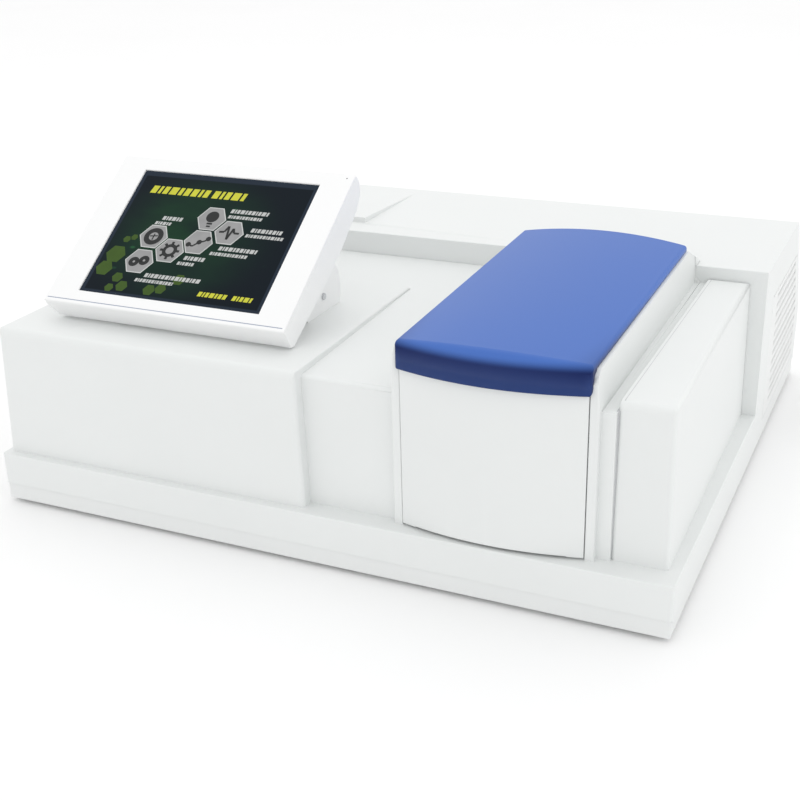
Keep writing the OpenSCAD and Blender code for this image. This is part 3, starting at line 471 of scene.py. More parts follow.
@dataclass(frozen=True)
class MirrorCoat:
    """A front-surface mirror with a slightly duller haze in patches."""

    name: str
    slot: str

    def make(self) -> bpy.types.Material:
        """Builds the material."""
        sheet = Sheet(self.name)
        haze = sheet.cloud(sheet.place(), 0.012, 3.0)
        return sheet.surface(
            {
                "Base Color": sheet.blend(haze, (0.93, 0.94, 0.95), (0.84, 0.86, 0.9)),
                "Metallic": 1.0,
                "Roughness": 0.03 + haze.smooth(0.45, 0.8) * 0.08,
            }
        )


@dataclass(frozen=True)
class CircuitBoard:
    """Green solder mask over copper tracks."""

    name: str
    slot: str

    def make(self) -> bpy.types.Material:
        """Builds the material."""
        sheet = Sheet(self.name)
        at = sheet.place()
        made = sheet.node(
            "ShaderNodeTexBrick",
            {"offset": 0.37, "squash": 0.6},
            {"Vector": at, "Scale": 260.0, "Mortar Size": 0.012, "Mortar Smooth": 0.3},
        )
        tracks = Wire(sheet, made.outputs["Fac"])
        pads = Wire(sheet, sheet.cells(at, 0.007).outputs["Distance"]).smooth(0.16, 0.12)
        colour = sheet.blend(tracks * 0.6, (0.012, 0.12, 0.05), (0.03, 0.27, 0.12))
        colour = sheet.blend(pads, colour, (0.72, 0.66, 0.5))
        return sheet.surface(
            {
                "Base Color": colour,
                "Roughness": 0.3 + pads * 0.1,
                "Metallic": pads * 0.8,
                "Normal": sheet.relief(tracks, 0.00004),
            }
        )


@dataclass(frozen=True)
class ScreenField:
    """The lit background of the display: a green glow fading into navy, with soft discs."""

    name: str
    slot: str
    strength: float = 1.0

    def make(self) -> bpy.types.Material:
        """Builds the material."""
        sheet = Sheet(self.name)
        across = Wire(sheet, sheet.node("ShaderNodeTexCoord").outputs["Generated"])
        u, v = sheet.axis(across, 0), sheet.axis(across, 1)
        far = ((u - 0.42) * (u - 0.42) + (v - 0.5) * (v - 0.5) * 0.8) ** 0.5
        glow = 1.0 - far.smooth(0.05, 0.55)
        swirl = sheet.cloud(across, 0.35, 3.0)
        discs = Wire(sheet, sheet.cells(across, 0.11).outputs["Distance"]).smooth(0.2, 0.05)
        chosen = sheet.cloud(across, 0.16, 0.0).smooth(0.55, 0.6)
        edge = (u.smooth(0.018, 0.024) * (1.0 - u.smooth(0.976, 0.982))) * (
            v.smooth(0.022, 0.03) * (1.0 - v.smooth(0.955, 0.963))
        )
        colour = sheet.blend(
            glow * (swirl * 1.5 - 0.2), (0.0006, 0.003, 0.004), (0.008, 0.055, 0.012)
        )
        colour = sheet.blend(discs * chosen * glow * 0.8, colour, (0.03, 0.16, 0.05))
        colour = sheet.blend(edge, (0.014, 0.022, 0.034), colour)
        return sheet.surface(
            {
                "Base Color": (0.006, 0.008, 0.012),
                "Emission Color": colour,
                "Emission Strength": self.strength,
                "Roughness": 0.12 + swirl * 0.04,
                "Specular IOR Level": 0.06,
            }
        )


@dataclass(frozen=True)
class LitMark:
    """A mark shown on the display, a touch brighter at one end."""

    name: str
    slot: str
    colour: Colour
    strength: float = 1.0

    def make(self) -> bpy.types.Material:
        """Builds the material."""
        sheet = Sheet(self.name)
        across = Wire(sheet, sheet.node("ShaderNodeTexCoord").outputs["Object"])
        grain = sheet.cloud(across, 0.01, 2.0)
        colour = sheet.blend(grain, tone(self.colour, 0.82), tone(self.colour, 1.1))
        return sheet.surface(
            {
                "Base Color": (0.01, 0.01, 0.012),
                "Emission Color": colour,
                "Emission Strength": self.strength,
                "Roughness": 0.14 + grain * 0.03,
                "Specular IOR Level": 0.06,
            }
        )


Finish = Union[
    Moulded, LidPlastic, Metal, Soft, Quartz, MirrorCoat, CircuitBoard, ScreenField, LitMark
]


# ------------------------------------------------------------------ mesh work


@dataclass(frozen=True)
class Rounding:
    """Says which edges of a blank are rounded, and how much.

    Attributes:
        width: The rounding, in metres.
        where: Tells from an edge's middle and direction whether it is meant.
        hollow: True for a fillet in a hollow, and False for an outward edge.
    """

    width: float
    where: Callable[[Vector, Vector], bool]
    hollow: bool = False


class Dresser:
    """Makes each finish once and keeps count of the pieces."""

    def __init__(self) -> None:
        """Starts with no materials."""
        self.made: Dict[str, bpy.types.Material] = {}
        self.count = 0

    def material(self, finish: Finish) -> bpy.types.Material:
        """The finish's material, built the first time that it is asked for."""
        if finish.name not in self.made:
            self.made[finish.name] = finish.make()
        return self.made[finish.name]

    def node(self, name: str, finish: Finish, bevel: float = 0.0) -> None:
        """Dresses a CAD node whose shape stays.

        Args:
            name: The node.
            finish: Its finish.
            bevel: How far its edges are broken, in metres.
        """
        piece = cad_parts[name]
        piece.data.materials.clear()
        piece.data.materials.append(self.material(finish))
        if bevel > 0.0:
            weld = piece.modifiers.new("weld", "WELD")
            weld.merge_threshold = 1e-6
            plane = piece.modifiers.new("planes", "DECIMATE")
            plane.decimate_type = "DISSOLVE"
            plane.angle_limit = math.radians(0.6)
            broken = piece.modifiers.new("broken_edges", "BEVEL")
            broken.width = bevel
            broken.segments = 2
            broken.limit_method = "ANGLE"
            broken.angle_limit = math.radians(50.0)
            broken.use_clamp_overlap = True
        self.count += 1
        LOG.info("dressed %s in %s", name, finish.name)

    def nodes(self, finish: Finish, *names: str, bevel: float = 0.0) -> None:
        """Dresses several CAD nodes alike."""
        for name in names:
            self.node(name, finish, bevel)


class Blank:
    """A mesh being worked on."""

    def __init__(self, name: str) -> None:
        """Starts an empty mesh of that name."""
        self.name = name
        self.mesh = bmesh.new()
        self.widest = 0.0

    @classmethod
    def of_nodes(cls, name: str, *nodes: str) -> "Blank":
        """Starts from CAD nodes, with their flat faces made whole.

        Args:
            name: The piece's name.
            nodes: The nodes to copy.

        Returns:
            The blank.
        """
        blank = cls(name)
        for node in nodes:
            blank.mesh.from_mesh(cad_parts[node].data)
        bmesh.ops.remove_doubles(blank.mesh, verts=blank.mesh.verts, dist=2e-6)
        bmesh.ops.dissolve_limit(
            blank.mesh,
            angle_limit=math.radians(0.7),
            verts=blank.mesh.verts,
            edges=blank.mesh.edges,
            use_dissolve_boundaries=False,
            delimit=set(),
        )
        return blank

    def round_edges(self, *rules: Rounding) -> "Blank":
        """Marks the edges that the first fitting rule rounds.

        Args:
            rules: The rules, tried in order.

        Returns:
            The blank itself.
        """
        layer = self.mesh.edges.layers.float.get("bevel_weight_edge")
        layer = layer or self.mesh.edges.layers.float.new("bevel_weight_edge")
        self.widest = max([self.widest] + [rule.width for rule in rules])
        for edge in self.mesh.edges:
            if len(edge.link_faces) != 2 or edge.calc_face_angle(0.0) < math.radians(25):
                continue
            middle = (edge.verts[0].co + edge.verts[1].co) / 2
            line = (edge.verts[1].co - edge.verts[0].co).normalized()
            for rule in rules:
                if rule.hollow != edge.is_convex and rule.where(middle, line):
                    edge[layer] = rule.width / self.widest
                    break
        return self

    def face(self, points: Iterable[Sequence[float]]) -> bmesh.types.BMFace:
        """Adds one face.

        Args:
            points: Its corners, in order.

        Returns:
            The face.
        """
        return self.mesh.faces.new([self.mesh.verts.new(point) for point in points])

    def web(self, grid: Sequence[Sequence[bmesh.types.BMVert]], flip: bool = False) -> None:
        """Fills a grid of points with faces.

        Args:
            grid: Its rows of points.
            flip: Whether the faces turn the other way.
        """
        for low_row, high_row in zip(grid, grid[1:]):
            for i in range(len(low_row) - 1):
                corners = [low_row[i], low_row[i + 1], high_row[i + 1], high_row[i]]
                self.mesh.faces.new(corners[::-1] if flip else corners)

    def tube(
        self, start: Vector, end: Vector, radius: float, sides: int = 32, lip: float = 0.0
    ) -> None:
        """Adds a closed round bar with broken edges.

        Args:
            start: The middle of one end.
            end: The middle of the other end.
            radius: Its radius.
            sides: How many sides it has.
            lip: How far its edges are broken.
        """
        line = (end - start).normalized()
        turn = Vector((0, 0, 1)).rotation_difference(line)
        length = (end - start).length
        rows = [(0.0, radius - lip), (lip, radius), (length - lip, radius), (length, radius - lip)]
        if lip <= 0.0:
            rows = [(0.0, radius), (length, radius)]
        rings = []
        for along, size in rows:
            ring = []
            for step in range(sides):
                angle = 2 * math.pi * step / sides
                at = Vector((size * math.cos(angle), size * math.sin(angle), along))
                ring.append(self.mesh.verts.new(start + turn @ at))
            rings.append(ring)
        for low, high in zip(rings, rings[1:]):
            for step in range(sides):
                after = (step + 1) % sides
                self.mesh.faces.new((low[step], low[after], high[after], high[step]))
        self.mesh.faces.new(list(reversed(rings[0])))
        self.mesh.faces.new(rings[-1])

    def slab(
        self, low: Sequence[float], high: Sequence[float], turn: Optional[Matrix] = None
    ) -> None:
        """Adds a block between two corners.

        Args:
            low: Its lowest corner.
            high: Its highest corner.
            turn: A transform for it.
        """
        made = bmesh.ops.create_cube(self.mesh, size=1.0)["verts"]
        for vert in made:
            at = Vector(
                [a + (b - a) * (part + 0.5) for a, b, part in zip(low, high, vert.co)]
            )
            vert.co = turn @ at if turn is not None else at

    def creased(self, edge: bmesh.types.BMEdge, sharp: float = 32.0, wide: float = 0.0012) -> bool:
        """True where a surface turns sharply, or where two wide flat faces meet.

        Args:
            edge: The edge.
            sharp: The turn, in degrees, above which it is always a crease.
            wide: The area, in square metres, above which both faces count as wide.

        Returns:
            Whether the shading breaks at the edge.
        """
        turn = math.degrees(edge.calc_face_angle(0.0))
        small = min(face.calc_area() for face in edge.link_faces)
        return turn > sharp or (turn > 1.0 and small > wide)

    def finish(
        self,
        dresser: Dresser,
        finish: Finish,
        body: Ride,
        replaces: Sequence[str] = (),
        segments: int = 4,
        clamp: bool = True,
    ) -> bpy.types.Object:
        """Turns the blank into a piece.

        Args:
            dresser: Where its material comes from.
            finish: Its finish.
            body: What it rides on.
            replaces: The CAD nodes that it stands for.
            segments: How finely its edges are rounded.
            clamp: Whether a rounding gives way to a nearby edge.

        Returns:
            The piece.
        """
        for face in self.mesh.faces:
            face.smooth = True
        for edge in self.mesh.edges:
            if len(edge.link_faces) == 2 and self.creased(edge):
                edge.smooth = False
        data = bpy.data.meshes.new(self.name)
        self.mesh.to_mesh(data)
        self.mesh.free()
        piece = bpy.data.objects.new(self.name, data)
        bpy.context.scene.collection.objects.link(piece)
        data.materials.append(dresser.material(finish))
        if self.widest > 0.0:
            rounded = piece.modifiers.new("rounded_edges", "BEVEL")
            rounded.limit_method = "WEIGHT"
            rounded.width = self.widest
            rounded.segments = segments
            rounded.use_clamp_overlap = clamp
            rounded.harden_normals = True
            rounded.miter_outer = "MITER_ARC"
        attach(piece, body.value)
        if replaces:
            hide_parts(*replaces)
        dresser.count += 1
        LOG.info("made %s, riding on %s", self.name, body.value)
        return piece


def outline(grid: Sequence[List[bmesh.types.BMVert]]) -> List[bmesh.types.BMVert]:
    """The points round the border of a grid, in order."""
    last = grid[-1]
    far = [row[-1] for row in grid[1:]] + last[-2::-1]
    return grid[0] + far + [row[0] for row in reversed(grid[1:-1])]


def near(value: float, target: float, slack: float = 0.0012) -> bool:
    """True if two places along an axis are the same, within a little slack."""
    return abs(value - target) < slack


def upright(line: Vector) -> bool:
    """True for an edge that runs up and down."""
    return abs(line.z) > 0.9


def sideways(line: Vector) -> bool:
    """True for an edge that runs from side to side."""
    return abs(line.x) > 0.9


# ------------------------------------------------------------------ the finishes used


SHELL = Moulded("white_shell", "shell_white", (0.785, 0.803, 0.797))
TRAY = Moulded("tray_coat", "tray_white", (0.785, 0.80, 0.795), 0.46, 0.0009, 0.00002)
GRILLE = Moulded("grille_plastic", "grille_white", (0.80, 0.81, 0.805))
BEZEL = Moulded("display_plastic", "display_white", (0.89, 0.893, 0.893), 0.38, 0.0006, 0.000008)
STAND = Moulded("stand_plastic", "display_white", (0.86, 0.865, 0.865), 0.45)
BLACK = Moulded("black_moulding", "black_plastic", (0.018, 0.018, 0.02), 0.45, 0.0006, 0.00002, 0.1, 0.4)
COAT = Moulded("matt_black_coat", "black_coat", (0.022, 0.022, 0.024), 0.62, 0.0008, 0.00003, 0.1, 0.5)
MODULE = Moulded("panel_moulding", "panel_module", (0.05, 0.09, 0.06), 0.5)
ROCKER = Moulded("rocker_green", "rocker_green", (0.02, 0.22, 0.06), 0.22, 0.002, 0.000004, 0.05, 0.2, 0.4)
RUBBER = Soft("foot_rubber", "foot_rubber", (0.02, 0.02, 0.022))
FOAM = Soft("seal_foam", "gasket", (0.015, 0.015, 0.017), 0.0008, 0.00012)
STEEL = Metal("brushed_steel", "steel", (0.62, 0.63, 0.65))
PLATE = Metal("machined_aluminium", "plate_aluminium", (0.78, 0.79, 0.8), 0.38, (1.0, 60.0, 60.0))
MIRROR = MirrorCoat("mirror_coat", "mirror_glass")
CLEAR = Quartz("quartz", "quartz", (0.97, 0.985, 0.99))
BOARD = CircuitBoard("circuit_board", "board_green")
# A grey strip that stands for the painted shadow in the groove on the right block's top.
SEAM = Moulded("seam_shadow", "shell_white", (0.56, 0.57, 0.58), 0.7)
# A grey slab set in the gap beside the right block: painted shadow in that gap.
PALE_GAP_SHADOW = Moulded("gap_shadow_pale", "shell_white", (0.55, 0.56, 0.57), 0.7)
# A blue-grey strip that stands for the painted shadow in the seam low on the bezel.
BLUE_SEAM_SHADOW = Moulded("seam_shadow_blue_grey", "display_white", (0.30, 0.34, 0.44), 0.6)
PORT = Moulded("port_grey", "display_white", (0.16, 0.16, 0.17), 0.6)


# ------------------------------------------------------------------ sub-assemblies


@dataclass
class Cabinet:
    """The tray, the plinth and the white covers.

    Attributes:
        soft: The rounding of the left block's front top edge.
        firm: The rounding of the outer edges of the rear and right blocks.
        step: The rounding of the left block's other top edges.
        upright: The rounding of the tray's and the plinth's upright corners.
        front_upright: The rounding of the left block's front corners.
        deck_front: The rounding of the deck's front edge.
        rear_brow: The rounding along the back of the rear block's top.
        rear_back: The rounding along the top of its rear wall.
        right_brow: The rounding of the right block's front top edge.
        valley: The fillet in the channel beside the housing.
        groove: The width of the grey line of painted shadow along the right block's top.
    """

    soft: float = 0.0075
    firm: float = 0.0032
    step: float = 0.0011
    upright: float = 0.0028
    front_upright: float = 0.0034
    deck_front: float = 0.0030
    rear_brow: float = 0.006
    rear_back: float = 0.01
    right_brow: float = 0.0065
    valley: float = 0.0045
    groove: float = 0.0005

    def build(self, dresser: Dresser) -> None:
        """Makes the covers and dresses the tray."""
        self.tray(dresser)
        self.plinth(dresser)
        self.left(dresser)
        self.rear(dresser)
        self.right(dresser)
        self.housing(dresser)
        self.grille(dresser)

    def tray(self, dresser: Dresser) -> None:
        """Makes the bottom tray, with its lower edges rolled."""
        low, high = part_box("bottom_tray")
        blank = Blank.of_nodes("tray_shell", "bottom_tray").round_edges(
            Rounding(0.002, lambda at, line: near(at.z, low.z) and self.outside(at, low, high)),
            Rounding(self.upright, lambda at, line: upright(line) and self.outside(at, low, high)),
            Rounding(0.0005, lambda at, line: True),
        )
        blank.finish(dresser, TRAY, Ride.CABINET, ["bottom_tray"])

    def outside(self, at: Vector, low: Vector, high: Vector) -> bool:
        """True if a point lies on a node's outer walls."""
        return (
            near(at.x, low.x) or near(at.x, high.x) or near(at.y, low.y) or near(at.y, high.y)
        )

    def plinth(self, dresser: Dresser) -> None:
        """Makes the plinth with its crisp ledge."""
        low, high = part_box("plinth_frame")
        blank = Blank.of_nodes("plinth", "plinth_frame").round_edges(
            Rounding(self.upright, lambda at, line: upright(line) and self.outside(at, low, high)),
            Rounding(0.0011, lambda at, line: near(at.z, high.z) and self.outside(at, low, high)),
            Rounding(0.0004, lambda at, line: True),
        )
        blank.finish(dresser, SHELL, Ride.CABINET, ["plinth_frame"])

    def left(self, dresser: Dresser) -> None:
        """Makes the left block and the deck, with soft top edges."""
        low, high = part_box("left_cover")
        top = high.z
        flat = [v.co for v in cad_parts["left_cover"].data.vertices if near(v.co.z, top, 1e-5)]
        right = max(co.x for co in flat if co.y < low.y + 0.05)
        rear = max(co.y for co in flat if co.x < right and co.y < high.y - 0.05)
        blank = Blank.of_nodes("left_block_and_deck", "left_cover").round_edges(
            Rounding(self.soft, lambda at, line: near(at.z, top, 0.0006) and at.y < low.y + 0.004),
            Rounding(self.step, lambda at, line: near(at.z, top, 0.0006) and at.y < rear + 0.001),
            Rounding(self.front_upright, lambda at, line: at.y < low.y + 0.004 and upright(line)),
            Rounding(
                self.deck_front,
                lambda at, line: sideways(line)
                and top - 0.012 < at.z < top - 0.001
                and low.y + 0.008 < at.y < low.y + 0.0145,
            ),
        )
        blank.finish(dresser, SHELL, Ride.CABINET, ["left_cover"], segments=6, clamp=False)

    def rear(self, dresser: Dresser) -> None:
        """Makes the rear block and the raised part of its top."""
        low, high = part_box("rear_cover")
        top = high.z - 0.005
        blank = Blank.of_nodes("rear_block", "rear_cover").round_edges(
            Rounding(
                self.rear_brow,
                lambda at, line: near(at.z, top) and sideways(line) and at.y > low.y + 0.1,
            ),
            Rounding(
                self.firm, lambda at, line: near(at.z, top) and not self.inboard(at, low, high)
            ),
            Rounding(
                self.rear_back,
                lambda at, line: sideways(line)
                and at.y > high.y - 0.001
                and at.z > low.z + 0.01,
            ),
            Rounding(
                0.002,
                lambda at, line: not self.inboard(at, low, high) and at.z > low.z + 0.002,
            ),
            Rounding(0.0016, lambda at, line: at.z > top + 0.001),
            Rounding(0.0005, lambda at, line: at.z > low.z + 0.002),
        )
        blank.finish(dresser, SHELL, Ride.CABINET, ["rear_cover"], segments=5)

    def inboard(self, at: Vector, low: Vector, high: Vector) -> bool:
        """True if a point lies inside a node's outer walls."""
        return low.x + 0.002 < at.x < high.x - 0.002 and at.y > low.y + 0.002

    def right(self, dresser: Dresser) -> None:
        """Makes the right cover and a grey strip of painted shadow for the groove along its top."""
        low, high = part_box("right_cover")
        blank = Blank.of_nodes("right_block", "right_cover").round_edges(
            Rounding(
                self.right_brow,
                lambda at, line: near(at.z, high.z) and at.y < low.y + 0.01 and sideways(line),
            ),
            Rounding(self.firm, lambda at, line: near(at.z, high.z) and at.x > low.x + 0.01),
            Rounding(0.0012, lambda at, line: near(at.z, high.z)),
            Rounding(self.firm, lambda at, line: upright(line) and at.y < low.y + 0.01),
        )
        blank.finish(dresser, SHELL, Ride.CABINET, ["right_cover"], segments=5, clamp=False)
        # A thin grey slab laid on the top: painted shadow where the groove is.
        seam = Blank("right_block_seam_shadow")
        start = low.y + 0.006
        edge = low.x + 0.0032
        seam.slab((edge, start, high.z - 0.0004), (edge + self.groove, high.y, high.z + 0.00003))
        seam.finish(dresser, SEAM, Ride.CABINET)

    def housing(self, dresser: Dresser) -> None:
        """Makes the housing round the compartment, with a soft valley beside it and a grey slab of painted
        shadow in the gap by the right block.
        """
        low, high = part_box("sample_housing")
        block_low, block_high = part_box("right_cover")
        blank = Blank.of_nodes("compartment_housing", "sample_housing").round_edges(
            Rounding(
                self.valley,
                lambda at, line: abs(line.y) > 0.9
                and block_low.x - 0.014 < at.x < block_low.x - 0.009
                and at.z > high.z - 0.045,
                hollow=True,
            ),
            Rounding(0.0009, lambda at, line: upright(line) and at.y < low.y + 0.001),
        )
        blank.finish(dresser, SHELL, Ride.CABINET, ["sample_housing"], clamp=False)
        # Painted shadow: a grey slab in the gap between the channel and the right block.
        gap = Blank("channel_gap_shadow")
        gap.slab(
            (block_low.x - 0.0012, block_low.y + 0.0016, block_low.z + 0.001),
            (block_low.x + 0.0009, block_high.y - 0.002, block_high.z - 0.0075),
        )
        gap.finish(dresser, PALE_GAP_SHADOW, Ride.CABINET)

    def grille(self, dresser: Dresser) -> None:
        """Makes the louvred panel on the right side."""
        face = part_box("side_grille")[1].x
        blank = Blank.of_nodes("louvre_panel", "side_grille").round_edges(
            Rounding(0.0009, lambda at, line: at.x > face - 0.0005)
        )
        blank.finish(dresser, GRILLE, Ride.CABINET, ["side_grille"], segments=3)


@dataclass
class SampleLid:
    """The crowned blue lid with its front lip.

    Attributes:
        bulge: How far the front bows forward of its corners.
        crown: The rise of the top's middle above its sides.
        nose: The radius along the front's top edge.
        brow: The radius along the other top edges.
        corner: The radius of the upright corners.
        lip: How far the front lip hangs below the top's edge.
        flange: How far the side flanges hang down.
        wall: The thickness of the moulding.
        columns: How many even steps the top has across.
        rows: How many even steps it has from front to rear.
        knuckle: The radius of a hinge knuckle.
    """

    bulge: float = 0.012
    crown: float = 0.007
    nose: float = 0.0060
    brow: float = 0.0026
    corner: float = 0.0020
    lip: float = 0.0215
    flange: float = 0.0045
    wall: float = 0.0026
    columns: int = 56
    rows: int = 60
    knuckle: float = 0.0045

    def build(self, dresser: Dresser) -> None:
        """Makes the lid's skin, its knuckles, and dresses its liner, seal and hinge."""
        low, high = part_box("lid")
        pins_low, pins_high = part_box("hinge_pins")
        self.left, self.right = low.x, high.x
        self.front = low.y + self.bulge
        self.axis_y = (pins_low.y + pins_high.y) / 2
        self.axis_z = (pins_low.z + pins_high.z) / 2
        self.rear = self.axis_y - 0.008
        self.lip_z = low.z
        self.side_z = low.z + self.lip
        liner_low, liner_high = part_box("lid_liner")
        self.slope = (liner_high.z - liner_low.z - 0.0015) / (liner_high.y - liner_low.y)
        # The second colour is a darker copy of the first: painted shade on the upright lip.
        finish = LidPlastic(
            "lid_plastic", "lid_blue", (0.064, 0.155, 0.49), (0.006, 0.016, 0.092),
            self.side_z - 0.005, self.side_z + 0.0035,
        )
        self.skin(dresser, finish)
        self.knuckles(dresser, finish)
        dresser.node("lid_liner", BLACK, 0.0004)
        dresser.node("lid_seal", FOAM)
        dresser.node("lid_hinge_leaves", STEEL, 0.0003)
        dresser.node("hinge_pins", STEEL)

    def bow(self, across: float) -> float:
        """How far the front lies ahead of its corners, for a place from -1 to 1 across."""
        return self.bulge * (1.0 - across * across)

    def top(self, x: float, y: float) -> float:
        """The height of the crowned top at a place on the plan."""
        half = (self.right - self.left) / 2
        across = (x - self.left) / half - 1.0
        return (
            self.side_z
            + (y - self.front) * self.slope
            + self.crown * max(0.0, 1.0 - across * across)
        )

    def skin(self, dresser: Dresser, finish: Finish) -> None:
        """Makes the top with its lip and flanges, as one moulding."""
        blank = Blank("lid_moulding")
        width, length = self.right - self.left, self.rear - self.front
        xs = self.stations(width, 0.0056, 0.0056, self.columns)
        ys = self.stations(length, 0.0110, 0.0056, self.rows)
        grid = []
        for y in ys:
            row = []
            for x in xs:
                bow = self.bow(2.0 * x / width - 1.0)
                at_y = self.front - bow + y * (length + bow) / length
                at_x = self.left + x
                row.append(blank.mesh.verts.new((at_x, at_y, self.top(at_x, at_y))))
            grid.append(row)
        blank.web(grid)
        rim = [edge for edge in blank.mesh.edges if len(edge.link_faces) == 1]
        made = bmesh.ops.extrude_edge_only(blank.mesh, edges=rim)["geom"]
        for vert in (item for item in made if isinstance(item, bmesh.types.BMVert)):
            lip = vert.co.y < self.front + 0.0006
            flange = self.side_z + (vert.co.y - self.front) * self.slope - self.flange
            vert.co.z = self.lip_z if lip else flange
        bmesh.ops.recalc_face_normals(blank.mesh, faces=blank.mesh.faces)
        if sum(face.normal.z * face.calc_area() for face in blank.mesh.faces) < 0:
            bmesh.ops.reverse_faces(blank.mesh, faces=blank.mesh.faces)
        blank.round_edges(
            Rounding(self.corner, lambda at, line: upright(line)),
            Rounding(self.nose, lambda at, line: at.y < self.front + 0.0006 and self.on_top(at)),
            Rounding(self.brow, lambda at, line: self.on_top(at)),
        )
        piece = blank.finish(dresser, finish, Ride.LID, ["lid"], segments=8)
        wall = piece.modifiers.new("wall", "SOLIDIFY")
        wall.thickness, wall.offset = self.wall, -1.0

    def stations(self, length: float, first: float, last: float, count: int) -> List[float]:
        """Places along a side, with a wide step at each end for the rounding.

        Args:
            length: The side's length.
            first: The first step.
            last: The last step.
            count: How many even steps lie between them.

        Returns:
            The places, from 0 to the length.
        """
        middle = [first + (length - first - last) * i / count for i in range(count + 1)]
        return [0.0] + middle + [length]

    def on_top(self, at: Vector) -> bool:
        """True for a point on the crowned top."""
        return abs(at.z - self.top(at.x, at.y)) < 0.0008

    def knuckles(self, dresser: Dresser, finish: Finish) -> None:
        """Makes the lid's rear wall and the two knuckles on it."""
        blank = Blank("lid_rear_and_knuckles")
        seal_low, seal_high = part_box("lid_seal")
        blank.slab(
            (seal_low.x + 0.001, self.rear - 0.0028, self.axis_z - 0.0055),
            (seal_high.x - 0.001, self.rear - 0.0002, self.side_z + 0.004),
        )
        pins_low, pins_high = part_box("hinge_pins")
        for middle in (pins_low.x + 0.0155, pins_high.x - 0.0155):
            start = Vector((middle - 0.009, self.axis_y, self.axis_z))
            end = Vector((middle + 0.009, self.axis_y, self.axis_z))
            blank.tube(start, end, self.knuckle, 40, 0.0006)
            blank.slab(
                (middle - 0.0088, self.rear - 0.001, self.axis_z - 0.003),
                (middle + 0.0088, self.axis_y - 0.001, self.axis_z + 0.003),
            )
        blank.finish(dresser, finish, Ride.LID)


@dataclass
class FrontPanel:
    """The bulged panel that closes the compartment's front.

    Attributes:
        edge: The rounding of the edges round its face.
    """

    edge: float = 0.0013

    def build(self, dresser: Dresser) -> None:
        """Makes the panel and dresses its catches."""
        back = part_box("front_panel")[1].y
        blank = Blank.of_nodes("front_door", "front_panel").round_edges(
            Rounding(self.edge, lambda at, line: at.y < back - 0.0105),
            Rounding(0.0004, lambda at, line: True),
        )
        blank.finish(dresser, SHELL, Ride.FRONT_PANEL, ["front_panel"], segments=3)
        dresser.node("panel_catches", STEEL, 0.0003)


class Glyph(Enum):
    """The plain marks on the display's tiles."""

    BULB = "bulb"
    WAVE = "wave"
    CURVE = "curve"
    COG = "cog"
    DIAL = "dial"
    LINKS = "links"


